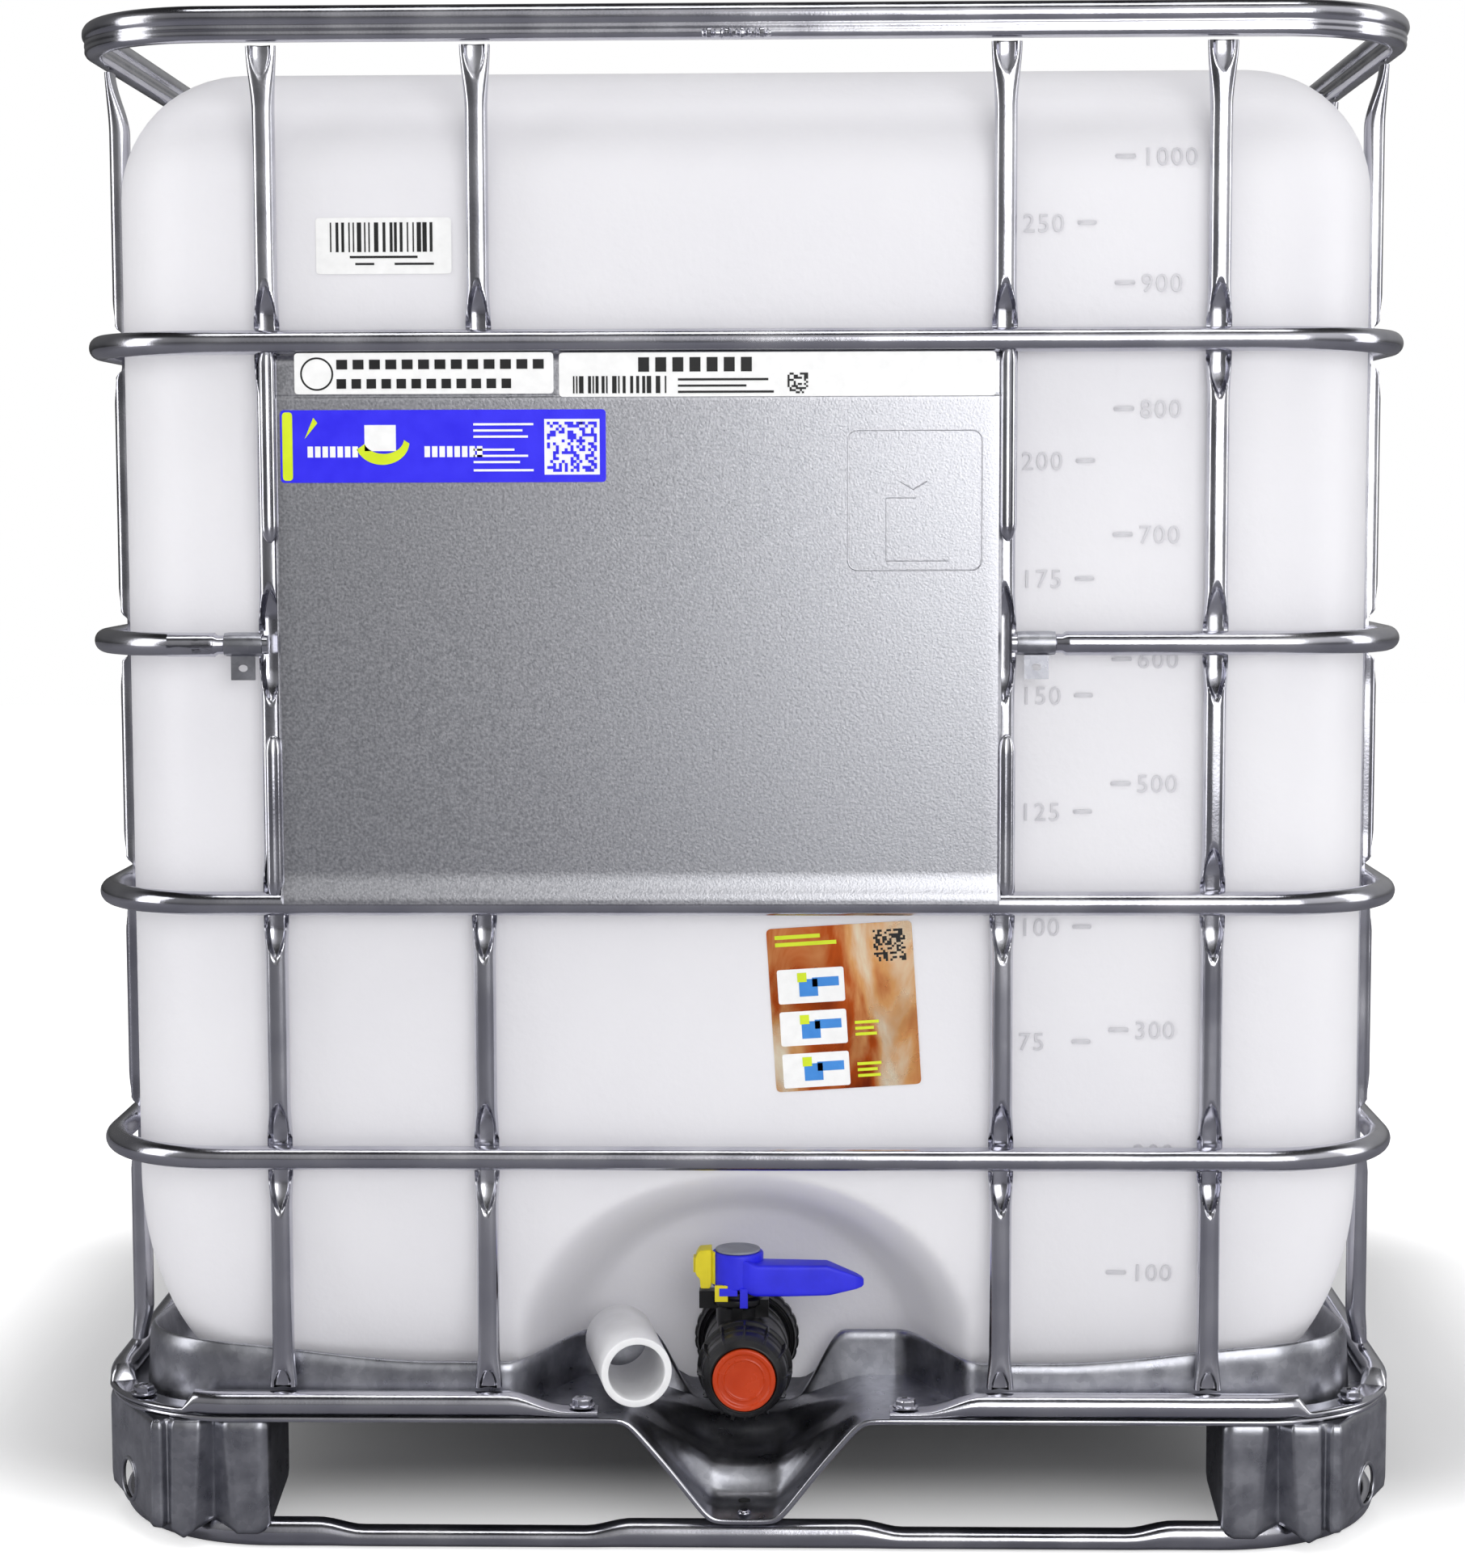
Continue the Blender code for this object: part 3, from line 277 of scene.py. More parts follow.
def turned(
    profile: Array,
    centre: Sequence[float],
    axis: Axis,
    sides: int = 72,
    swell: Callable[[Array, Array, Array], Array] | None = None,
) -> Array:
    """Turn (radius, along) pairs about an axis: centre plus radius times cosine and sine of the turn.

    Args:
        profile: the pairs as m x 2.
        centre: a point on the axis, where along is 0.
        axis: the axis and the two directions across it.
        sides: places round the axis.
        swell: returns the radius for arrays of turn, radius and along, for ribs.

    Returns:
        Points as sides x m x 3.
    """
    turn = np.linspace(0.0, 2.0 * math.pi, sides, endpoint=False)[:, None]
    radius, along = profile[None, :, 0], profile[None, :, 1]
    reach = swell(turn, radius, along) if swell else radius + 0.0 * turn
    first, second, third = (np.array(v) for v in axis.value)
    return (
        np.array(centre)
        + (reach * np.cos(turn))[..., None] * first
        + (reach * np.sin(turn))[..., None] * second
        + np.broadcast_to(along, reach.shape)[..., None] * third
    )


def closed_ends(grid: Array) -> Array:
    """Add a row at each end of a grid that is gathered to the middle of that end's row."""
    ends = [np.broadcast_to(row.mean(axis=0), row.shape)[None] for row in (grid[0], grid[-1])]
    return np.concatenate((ends[0], grid, ends[1]))


# ------------------------------------------------------------------ material nodes


def add_node(
    tree: bpy.types.NodeTree,
    kind: str,
    settings: Mapping[Any, Any] | None = None,
    links: Mapping[Any, bpy.types.NodeSocket] | None = None,
) -> bpy.types.Node:
    """Add a node, set its inputs or attributes and link its inputs.

    Args:
        tree: the tree that takes the node.
        kind: the node's type name.
        settings: input names or numbers, or attribute names, and their values. "stops" sets a
            colour ramp from (place, hex colour) pairs.
        links: input names or numbers and the sockets that feed them.

    Returns:
        The new node.
    """
    node = tree.nodes.new(kind)
    for key, value in (settings or {}).items():
        if key == "stops":
            ramp = node.color_ramp
            while len(ramp.elements) < len(value):
                ramp.elements.new(0.5)
            for element, (place, code) in zip(ramp.elements, value):
                element.position = place
                element.color = srgb(code)
        elif isinstance(key, int) or key in node.inputs:
            node.inputs[key].default_value = value
        else:
            setattr(node, key, value)
    for key, source in (links or {}).items():
        tree.links.new(source, node.inputs[key])
    return node


@dataclass(frozen=True)
class Finish:
    """A real surface, moulded by default: a colour that drifts slightly, sheen and a fine grain.

    Sizes are in millimetres and become noise scales per metre.
    """

    name: str
    slot: Slot
    low_colour: str
    high_colour: str
    low_rough: float
    high_rough: float
    patch_mm: float = 18.0
    grain_mm: float = 1.2
    grain_height: float = 0.00004
    metallic: float = 0.0

    def material(self) -> bpy.types.Material:
        """Return the finish's material, made once."""
        found = bpy.data.materials.get(self.name)
        if found:
            return found
        made = bpy.data.materials.new(self.name)
        made.use_nodes = True
        tree = made.node_tree
        shader = tree.nodes["Principled BSDF"]
        shader.inputs["Metallic"].default_value = self.metallic
        self.dress(tree, shader, add_node(tree, "ShaderNodeTexCoord").outputs["Object"])
        return made

    def dress(self, tree: bpy.types.NodeTree, shader: bpy.types.Node, place: bpy.types.NodeSocket) -> None:
        """Link the finish's patterns to the shader.

        Args:
            tree: the material's tree.
            shader: its Principled shader.
            place: the Object coordinates.
        """
        patch = add_node(
            tree, "ShaderNodeTexNoise", {"Scale": 1000.0 / self.patch_mm, "Detail": 4.0}, {"Vector": place}
        )
        grain = add_node(
            tree, "ShaderNodeTexNoise", {"Scale": 1000.0 / self.grain_mm, "Detail": 2.0}, {"Vector": place}
        )
        colour = add_node(
            tree,
            "ShaderNodeValToRGB",
            {"stops": ((0.3, self.low_colour), (0.7, self.high_colour))},
            {"Fac": patch.outputs["Fac"]},
        )
        rough = add_node(
            tree,
            "ShaderNodeMapRange",
            {"From Min": 0.35, "From Max": 0.65, "To Min": self.low_rough, "To Max": self.high_rough},
            {"Value": patch.outputs["Fac"]},
        )
        bump = add_node(
            tree, "ShaderNodeBump", {"Strength": 1.0, "Distance": self.grain_height},
            {"Height": grain.outputs["Fac"]}
        )
        tree.links.new(colour.outputs["Color"], shader.inputs["Base Color"])
        tree.links.new(rough.outputs["Result"], shader.inputs["Roughness"])
        tree.links.new(bump.outputs["Normal"], shader.inputs["Normal"])


@dataclass(frozen=True)
class ZincTube(Finish):
    """Galvanised welded tube: bright, drawn long reflections broken by slight waves and dull patches."""

    wave_mm: float = 45.0
    wave_height: float = 0.0006
    metallic: float = 1.0

    def dress(self, tree: bpy.types.NodeTree, shader: bpy.types.Node, place: bpy.types.NodeSocket) -> None:
        """Add long waves under the grain, which make the reflections wander along the tube.

        Args:
            tree: the material's tree.
            shader: its Principled shader.
            place: the Object coordinates.
        """
        super().dress(tree, shader, place)
        wave = add_node(
            tree, "ShaderNodeTexNoise", {"Scale": 1000.0 / self.wave_mm, "Detail": 1.0}, {"Vector": place}
        )
        fine = shader.inputs["Normal"].links[0].from_node
        long = add_node(
            tree, "ShaderNodeBump", {"Strength": 1.0, "Distance": self.wave_height},
            {"Height": wave.outputs["Fac"]}
        )
        tree.links.new(long.outputs["Normal"], fine.inputs["Normal"])


@dataclass(frozen=True)
class SpangledSheet(ZincTube):
    """Pressed galvanised sheet: zinc crystals a few millimetres wide, each a little lighter or duller."""

    spangle_mm: float = 5.0

    def dress(self, tree: bpy.types.NodeTree, shader: bpy.types.Node, place: bpy.types.NodeSocket) -> None:
        """Tint the patches by the crystal that a point lies in.

        Args:
            tree: the material's tree.
            shader: its Principled shader.
            place: the Object coordinates.
        """
        super().dress(tree, shader, place)
        crystal = add_node(
            tree, "ShaderNodeTexVoronoi", {"Scale": 1000.0 / self.spangle_mm}, {"Vector": place}
        )
        shade = add_node(
            tree,
            "ShaderNodeValToRGB",
            {"stops": ((0.1, "ECECEE"), (0.9, "FFFFFF"))},
            {"Fac": crystal.outputs["Color"]},
        )
        plain = shader.inputs["Base Color"].links[0].from_socket
        mixed = add_node(
            tree,
            "ShaderNodeMix",
            {"data_type": "RGBA", "blend_type": "MULTIPLY", 0: 1.0},
            {6: plain, 7: shade.outputs["Color"]},
        )
        tree.links.new(mixed.outputs[2], shader.inputs["Base Color"])


@dataclass(frozen=True)
class MilkyPlastic(Finish):
    """Natural polyethylene: light sinks into it and a little comes through, so shadows go soft; a painted
    glow, where set, lifts them further.
    """

    depth: float = 0.012
    share: float = 0.35
    glow: float = 0.0

    def dress(self, tree: bpy.types.NodeTree, shader: bpy.types.Node, place: bpy.types.NodeSocket) -> None:
        """Add light scattered under the surface, and the painted glow: emission in the light colour that
        brightens shaded parts.

        Args:
            tree: the material's tree.
            shader: its Principled shader.
            place: the Object coordinates.
        """
        super().dress(tree, shader, place)
        shader.inputs["Subsurface Weight"].default_value = self.share
        shader.inputs["Subsurface Radius"].default_value = (1.0, 1.0, 0.96)
        shader.inputs["Subsurface Scale"].default_value = self.depth
        # Painted glow: emission in the finish's light colour, which lifts the shade of recesses such as the
        # valve niche.
        shader.inputs["Emission Color"].default_value = srgb(self.high_colour)
        shader.inputs["Emission Strength"].default_value = self.glow


@dataclass(frozen=True)
class FoilLabel(Finish):
    """Metallised film label: copper colour with painted shade and gold and near-white highlights where the
    creased film catches the light.
    """

    metallic: float = 0.75

    def dress(self, tree: bpy.types.NodeTree, shader: bpy.types.Node, place: bpy.types.NodeSocket) -> None:
        """Paint light and shade into the colour along stretched creases: dark copper shade, copper, gold and
        near-white highlights.

        Args:
            tree: the material's tree.
            shader: its Principled shader.
            place: the Object coordinates.
        """
        super().dress(tree, shader, place)
        stretched = add_node(
            tree,
            "ShaderNodeMapping",
            {"Rotation": (0.0, math.radians(35.0), 0.0), "Scale": (1.0, 1.0, 0.35)},
            {"Vector": place},
        )
        crease_highlights = add_node(
            tree,
            "ShaderNodeTexNoise",
            {"Scale": 1000.0 / self.patch_mm, "Detail": 5.0, "Distortion": 0.6},
            {"Vector": stretched.outputs["Vector"]},
        )
        # Painted highlight and shade: the crease noise runs the colour from dark shade through copper to
        # gold and near-white highlights.
        colour = add_node(
            tree,
            "ShaderNodeValToRGB",
            {"stops": ((0.32, "7A2206"), (0.45, "C8571A"), (0.56, "F0B070"), (0.68, "FFF0D4"))},
            {"Fac": crease_highlights.outputs["Fac"]},
        )
        tree.links.new(colour.outputs["Color"], shader.inputs["Base Color"])


# Galvanised steel tube, drawn and welded: bright grey mirror bands with a soft edge.
TUBE = ZincTube(
    "galvanised_steel_tube", Slot.TUBE, "B4B4BE", "D2D2D8", 0.13, 0.23, patch_mm=60.0, grain_mm=2.0
)
# Base and deck steel, pressed from galvanised sheet: darker, with crystals and handling marks.
PRESSED = SpangledSheet(
    "pressed_galvanised_sheet", Slot.SHEET, "A3A4AB", "BEBFC5", 0.27, 0.38, patch_mm=22.0, grain_mm=1.5
)
# Label plate, skin-passed galvanised sheet: satin, with a fine salt-and-pepper grain.
PLATE = Finish(
    "satin_galvanised_sheet", Slot.LABEL, "B2B3B9", "CFCFD4", 0.3, 0.38,
    patch_mm=2.2, grain_mm=1.5, grain_height=0.00012, metallic=1.0,
)
# Blow-moulded high-density polyethylene: milky white, with an orange-peel skin and a painted glow that lifts
# its shadows.
BOTTLE = MilkyPlastic(
    "blow_moulded_polyethylene", Slot.BOTTLE, "D9D8DD", "E0DFE3", 0.38, 0.46,
    patch_mm=260.0, grain_mm=7.0, grain_height=0.00025, glow=0.1,
)
# Raised marks of the same plastic, polished by the mould; their colour is a shade greyer as painted shade
# for their raised edges.
MARKS_WITH_PAINTED_SHADE = Finish("polished_polyethylene_marks_painted_shade", Slot.BOTTLE, "C4C3C9", "CCCBD0", 0.3, 0.38, patch_mm=9.0)
# Injection-moulded polyethylene in black, for valve, lid and nut: satin, finely grained.
BLACK = Finish("black_moulded_polyethylene", Slot.BLACK, "08080A", "141416", 0.3, 0.42)
# Injection-moulded polypropylene in ultramarine for the lever.
BLUE = Finish("blue_moulded_polypropylene", Slot.BLUE, "2020DC", "2828F0", 0.38, 0.48)
# Injection-moulded polypropylene in yellow for the lock.
YELLOW = Finish("yellow_moulded_polypropylene", Slot.YELLOW, "DCCB10", "ECDB1C", 0.36, 0.46)
# Injection-moulded polyethylene in orange red for the outlet's cap: the glossiest of the mouldings.
ORANGE = Finish("orange_moulded_polyethylene", Slot.ORANGE, "B03204", "BE3A06", 0.2, 0.28)
# Grey moulded badge, matt.
GREY = Finish("grey_moulded_badge", Slot.GREY, "84868F", "979AA3", 0.45, 0.55)
# Loose tube of natural polyethylene: whiter and thinner than the bottle.
WHITE = MilkyPlastic("white_polyethylene_tube", Slot.WHITE, "E4E4E6", "EDEDEF", 0.34, 0.44, depth=0.004)
# Red moulded vent plug.
RED = Finish("red_moulded_polypropylene", Slot.RED, "B01414", "C21C1C", 0.36, 0.46)
# Pressed rubber of the gaskets: dull black.
RUBBER = Finish("pressed_gasket_rubber", Slot.RUBBER, "0C0C0C", "1A1A1A", 0.7, 0.85)
# Coated white paper of the stickers.
PAPER = Finish("coated_label_paper", Slot.WHITE, "ECECEC", "F4F4F4", 0.45, 0.58, patch_mm=9.0)
# Ribbon-printed black.
INK = Finish("printed_black_ink", Slot.BLACK, "0A0A0A", "18181A", 0.4, 0.55)
# Vinyl film in blue and in lime.
BLUE_FILM = Finish("blue_vinyl_film", Slot.BLUE, "2418E6", "2A20F0", 0.32, 0.42)
LIME_FILM = Finish("lime_vinyl_film", Slot.YELLOW, "C9DC12", "D6E81E", 0.32, 0.42)
# Metallised film of the handling sticker, with painted highlights and shade along its creases.
FOIL = FoilLabel("metallised_copper_film", Slot.ORANGE, "B4501A", "E8A468", 0.22, 0.38, patch_mm=46.0)
# Print on the handling sticker's panels.
PANEL_BLUE = Finish("printed_blue_ink", Slot.BLUE, "2F7FD0", "3B8CDC", 0.4, 0.55)


# ------------------------------------------------------------------ meshes


class Skin:
    """Points and faces of one piece, gathered from whole grids of points."""

    def __init__(self) -> None:
        """Start with no points."""
        self.points: list[Array] = []
        self.quads: list[Array] = []
        self.count = 0

    def grid(self, surface: Array, wrap_rows: bool = False, wrap_columns: bool = False) -> "Skin":
        """Add a grid, with a face between every four neighbours.

        Args:
            surface: points as rows x columns x 3.
            wrap_rows: whether the last row joins the first.
            wrap_columns: whether the last column joins the first.

        Returns:
            This skin.
        """
        rows, columns = surface.shape[:2]
        row = np.arange(rows if wrap_rows else rows - 1)[:, None]
        column = np.arange(columns if wrap_columns else columns - 1)[None, :]
        next_row, next_column = (row + 1) % rows, (column + 1) % columns
        corners = (
            row * columns + column,
            row * columns + next_column,
            next_row * columns + next_column,
            next_row * columns + column,
        )
        self.quads.append(self.count + np.stack(np.broadcast_arrays(*corners), axis=-1).reshape(-1, 4))
        self.points.append(surface.reshape(-1, 3))
        self.count += rows * columns
        return self

    def strand(self, path: Array, outward: Array, section: Array) -> "Skin":
        """Add a section carried along an open path, with its ends closed."""
        return self.grid(closed_ends(carry(path, outward, section, closed=False)), False, True)

    def boxes(self, low: Array, high: Array) -> "Skin":
        """Add closed boxes, each corner taking its coordinates from the low or the high corner.

        Args:
            low: lowest corners as n x 3.
            high: highest corners as n x 3.

        Returns:
            This skin.
        """
        pick = np.array([[k >> axis & 1 for axis in range(3)] for k in range(8)])
        corner = np.where(pick[None], np.asarray(high)[:, None], np.asarray(low)[:, None])
        faces = np.array(
            ((0, 2, 3, 1), (4, 5, 7, 6), (0, 1, 5, 4), (2, 6, 7, 3), (0, 4, 6, 2), (1, 3, 7, 5))
        )
        starts = self.count + 8 * np.arange(len(corner))[:, None, None]
        self.quads.append((starts + faces[None]).reshape(-1, 4))
        self.points.append(corner.reshape(-1, 3))
        self.count += 8 * len(corner)
        return self

    def bend(self, rule: Callable[[Array], Array]) -> "Skin":
        """Move every point by a rule on the whole array."""
        self.points = [rule(points) for points in self.points]
        return self

    def drop(self, rule: Callable[[Array], Array]) -> "Skin":
        """Leave out the faces whose middle meets a rule on the whole array."""
        points = np.vstack(self.points)
        self.quads = [quads[~rule(points[quads].mean(axis=1))] for quads in self.quads]
        return self

    def mesh(self, name: str, inside: Sequence[float] | None = None, sharp: float = 40.0) -> bpy.types.Mesh:
        """Make the mesh, its seams and poles closed and its faces turned outwards.

        Args:
            name: the mesh's name.
            inside: a point behind an open sheet; without it the middle of the points.
            sharp: the least angle in degrees that stays a crisp edge.

        Returns:
            The mesh.
        """
        made = bpy.data.meshes.new(name)
        made.from_pydata(np.vstack(self.points).tolist(), [], np.vstack(self.quads).tolist())
        work = bmesh.new()
        work.from_mesh(made)
        bmesh.ops.remove_doubles(work, verts=work.verts, dist=2e-6)
        bmesh.ops.recalc_face_normals(work, faces=work.faces)
        loose = [v for v in work.verts if not v.link_faces]
        bmesh.ops.delete(work, geom=loose, context="VERTS")
        work.to_mesh(made)
        work.free()
        count = len(made.polygons)
        centres, normals, areas = np.zeros(3 * count), np.zeros(3 * count), np.zeros(count)
        made.polygons.foreach_get("center", centres)
        made.polygons.foreach_get("normal", normals)
        made.polygons.foreach_get("area", areas)
        centres, normals = centres.reshape(-1, 3), normals.reshape(-1, 3)
        back = np.array(inside) if inside is not None else centres.mean(axis=0)
        if (areas * ((centres - back) * normals).sum(axis=1)).sum() < 0.0:
            made.flip_normals()
        made.shade_smooth()
        made.set_sharp_from_angle(angle=math.radians(sharp))
        return made

    def piece(
        self,
        name: str,
        finish: Finish,
        body: str = "frame",
        stands_for: Sequence[str] = (),
        inside: Sequence[float] | None = None,
        sharp: float = 40.0,
        wall: float = 0.0,
    ) -> bpy.types.Object:
        """Make the piece's object at the origin, dress it and tie it to the frame.

        Args:
            name: the piece's name.
            finish: its surface.
            body: the body it rides on.
            stands_for: the CAD nodes that it replaces.
            inside: a point behind an open sheet.
            sharp: the least angle in degrees that stays a crisp edge.
            wall: thickness that an open sheet gets, inwards.

        Returns:
            The object.
        """
        made = bpy.data.objects.new(name, self.mesh(name, inside, sharp))
        bpy.context.scene.collection.objects.link(made)
        made.data.materials.append(finish.material())
        if wall:
            step = made.modifiers.new("wall", "SOLIDIFY")
            step.thickness = wall
            step.offset = -1.0
            step.use_even_offset = True
        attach(made, body)
        if stands_for:
            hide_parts(*stands_for)
        LOG.info("%s: %d faces on %s", name, len(made.data.polygons), body)
        return made


def bore(piece: bpy.types.Object, tool: Skin) -> None:
    """Cut a closed shape out of a piece and keep the result as its mesh.

    Args:
        piece: the piece, with its wall modifier.
        tool: the shape that is cut away.
    """
    cutter = bpy.data.objects.new("cutter", tool.mesh("cutter"))
    bpy.context.scene.collection.objects.link(cutter)
    step = piece.modifiers.new("bore", "BOOLEAN")
    step.operation = "DIFFERENCE"
    step.solver = "EXACT"
    step.object = cutter
    bpy.context.view_layer.update()
    graph = bpy.context.evaluated_depsgraph_get()
    result = bpy.data.meshes.new_from_object(piece.evaluated_get(graph))
    piece.modifiers.clear()
    piece.data = result
    bpy.data.objects.remove(cutter)


def rod(start: Sequence[float], end: Sequence[float], radius: float, sides: int = 32) -> Array:
    """Closed straight round rod: its ends' centres plus the radius times cosine and sine, as a grid."""
    first, last = np.array(start, dtype=float), np.array(end, dtype=float)
    along = Vector(last - first).normalized()
    across = np.array(along.orthogonal().normalized())
    up = np.cross(np.array(along), across)
    turn = np.linspace(0.0, 2.0 * math.pi, sides, endpoint=False)
    ring = radius * (np.cos(turn)[:, None] * across + np.sin(turn)[:, None] * up)
    return closed_ends(np.stack((first + ring, last + ring)))


def slab(outline: Array, low: float, high: float, edge: float = 0.0004) -> Array:
    """Flat sheet over a star-shaped outline, its loops stepping in by the edge at both faces.

    Args:
        outline: the outline as n x 2.
        low: where the sheet starts along its thickness.
        high: where it ends.
        edge: how far its rim is eased.

    Returns:
        Points as rows x n x 3, the third coordinate along the thickness.
    """
    centre = outline.mean(axis=0)
    reach = np.linalg.norm(outline - centre, axis=1, keepdims=True).max()
    rows = ((low, edge), (low + edge, 0.0), (high - edge, 0.0), (high, edge))
    loops = [
        np.column_stack((centre + (outline - centre) * (1.0 - inset / reach), np.full(len(outline), depth)))
        for depth, inset in rows
    ]
    return closed_ends(np.stack(loops))


# ------------------------------------------------------------------ cage


@dataclass
class CageRings:
    """The level tubes of the cage: four rings, the rolled top ring, the bottom rail and two cross bars."""

    radius: float = 0.009
    corner: float = 0.101
    sides: int = 28
    wander: float = 0.00035
    slim: float = 0.007
    slim_run: float = 0.037
    pad_half: float = 0.004
    pad_drop: float = 0.0052

    def wandering(self, path: Array, outward: Array, seed: float) -> Array:
        """Shift a path by sums of sines of its length, as a bent tube really runs."""
        run = np.concatenate(([0.0], np.cumsum(np.linalg.norm(np.diff(path, axis=0), axis=1))))
        sway = (
            np.sin(run * 2.0 * math.pi * 7.0 / run[-1] + seed)
            + 0.6 * np.sin(run * 2.0 * math.pi * 17.0 / run[-1] + seed)
        )
        return path - self.wander * (1.0 + 0.6 * sway)[:, None] * outward

    def plan(self, node: str, half_width: float) -> tuple[Array, Array, float]:
        """Centre line, outward directions and height of a ring from its node's box."""
        low, high = span(node)
        places, outs = rounded_rectangle(
            high[0] - half_width, high[1] - half_width, self.corner, counts=(60, 60, 60, 60), turns=18
        )
        return places[0], outs, float((low[2] + high[2]) / 2.0)

    def build_ring(self, node: str) -> None:
        """One closed ring: a circle carried round a rounded rectangle."""
        places, outs, height = self.plan(node, self.radius)
        path, outward = level(places, outs, height)
        tube = carry(
            self.wandering(path, outward, height * 40.0), outward,
            superellipse(self.radius, self.radius, self.sides)
        )
        Skin().grid(tube, True, True).piece(node + "_tube", TUBE, stands_for=[node])

    def build_open_ring(self, node: str, left: float, right: float) -> None:
        """The ring that stops at the label plate, drawn slimmer at its ends.

        Args:
            node: the ring's node.
            left: x of its left end.
            right: x of its right end.
        """
        places, outs, height = self.plan(node, self.radius)
        on_front = (outs[:, 1] < -0.99) & (np.abs(places[:, 0]) < 0.38)
        start = int(np.argmax(~on_front & (places[:, 0] > 0)))
        kept = np.roll(np.arange(len(places)), -start)
        kept = kept[~on_front[kept]]
        front_y = places[0, 1]
        near = np.array((0.0, 0.5, 1.0, 1.08, 1.16, 1.5, 2.0)) * self.slim_run
        head = np.column_stack((right + near, np.full(len(near), front_y)))
        tail = np.column_stack((left - near[::-1], np.full(len(near), front_y)))
        facing = np.tile((0.0, -1.0), (len(near), 1))
        path, outward = level(
            np.vstack((head, places[kept], tail)), np.vstack((facing, outs[kept], facing)), height
        )
        gap = np.where(path[:, 0] > 0, path[:, 0] - right, left - path[:, 0])
        at_end = (outward[:, 1] < -0.99) & (gap < self.slim_run * 1.04)
        half = np.where(at_end, self.slim, self.radius)
        section = superellipse(1.0, 1.0, self.sides)[None] * half[:, None, None]
        Skin().strand(path, outward, section).piece(
            node + "_tube", TUBE, stands_for=[node]
        )

    def build_top_ring(self) -> None:
        """Top tube rolled to three lobes: its outline is the outer envelope of three round rolls."""
        low, high = span("top_ring")
        half_tall = (high[2] - low[2]) / 2.0
        places, outs, height = self.plan("top_ring", self.radius)
        up = -half_tall * np.cos(np.linspace(0.0, math.pi, 41))
        rolls = ((0.0042, 0.0088, 0.0002), (-0.004, 0.0048, 0.0026), (-0.0082, 0.0048, 0.0024))
        faces = []
        for side in (1.0, -1.0):
            reach = [
                np.sqrt(np.clip(r**2 - (up - z) ** 2, 0.0, None)) + np.where(np.abs(up - z) < r, o, -1.0)
                for z, r, o in rolls
            ]
            faces.append(side * np.clip(np.max(reach, axis=0), 0.0, self.radius))
        section = np.vstack((np.column_stack((faces[0], up)), np.column_stack((faces[1], up))[::-1][1:-1]))
        path, outward = level(places, outs, height)
        ring = Skin().grid(carry(path, outward, section), True, True)
        ring.piece("top_ring_tube", TUBE, stands_for=["top_ring"], sharp=55.0)
        self.build_weld(float(low[2]) + 0.005, float(low[1]) + self.radius)

    def build_weld(self, height: float, centre_y: float) -> None:
        """Butt weld on the top ring's lower lip: a bead whose radius is stirred by sines."""
        x = np.linspace(-0.031, 0.027, 60)
        stir = 0.0013 * np.sin(x * 900.0) * np.sin(x * 410.0 + 1.0) + 0.0006 * np.sin(x * 2300.0)
        fade = ease((0.029 - np.abs(x + 0.002)) / 0.006)
        radius = (0.003 + stir) * fade + 1e-5
        path = np.column_stack((x, np.full(len(x), centre_y - 0.0052), np.full(len(x), height - 0.0012)))
        outward = forwards(len(x))
        section = superellipse(1.0, 1.1, 14)[None] * radius[:, None, None]
        Skin().strand(path, outward, section).piece("top_ring_weld", TUBE, sharp=60.0)

    def build_rail(self) -> None:
        """Bottom rail, pressed to dished pads at its corners and ends, where bolts hold it down."""
        low, high = span("cage_bottom_rail")
        half = 0.0095
        centre_z = float(high[2]) - half
        end_x = 0.11
        places, outs = rounded_rectangle(
            high[0] - half, high[1] - half, self.corner, counts=(120, 90, 90, 90), turns=40
        )
        places = places[0]
        on_gap = (outs[:, 1] < -0.99) & (np.abs(places[:, 0]) < end_x)
        order = np.roll(
            np.arange(len(places)), -int(np.argmax((outs[:, 1] < -0.99) & (places[:, 0] > end_x)))
        )
        order = order[~on_gap[order]]
        ends = np.array(((end_x, places[0, 1]), (-end_x, places[0, 1])))
        facing = np.array(((0.0, -1.0),))
        spots = np.vstack((ends[:1], places[order], ends[1:]))
        ways = np.vstack((facing, outs[order], facing))
        corner = np.minimum(
            ease((np.abs(spots[:, 0]) - 0.414) / 0.008), ease((np.abs(spots[:, 1]) - 0.514) / 0.008)
        )
        tip = ease((0.178 - np.abs(spots[:, 0])) / 0.046) * (ways[:, 1] < -0.99)
        press = np.maximum(corner, tip)
        path, outward = level(spots, ways, centre_z - self.pad_drop * press)
        base = superellipse(1.0, 1.0, 30)
        wide = (half + 0.0012 * press)[:, None]
        tall = half + (self.pad_half - half) * press
        dish = 1.0 - 0.45 * press[:, None] * (1.0 - base[None, :, 0] ** 2) * (base[None, :, 1] > 0)
        section = np.stack((base[None, :, 0] * wide, base[None, :, 1] * tall[:, None] * dish), axis=-1)
        Skin().strand(path, outward, section).piece(
            "cage_bottom_rail_tube", TUBE, stands_for=["cage_bottom_rail"]
        )

    def build_cross_bar(self, node: str) -> None:
        """One bar over the bottle, its ends pressed flat: half sizes eased along its length."""
        low, high = span(node)
        centre = (low + high) / 2.0
        x = np.linspace(low[0], high[0], 90)
        end = ease((0.055 - np.minimum(x - low[0], high[0] - x)) / 0.025)
        section = (
            superellipse(1.0, 1.0, 24)[None]
            * np.stack((0.0088 + 0.0017 * end, 0.0075 - 0.004 * end), axis=-1)[:, None]
        )
        path = np.column_stack((x, np.full(90, centre[1]), np.full(90, centre[2])))
        outward = forwards(90)
        Skin().strand(path, outward, section).piece(
            node + "_tube", TUBE, stands_for=[node]
        )

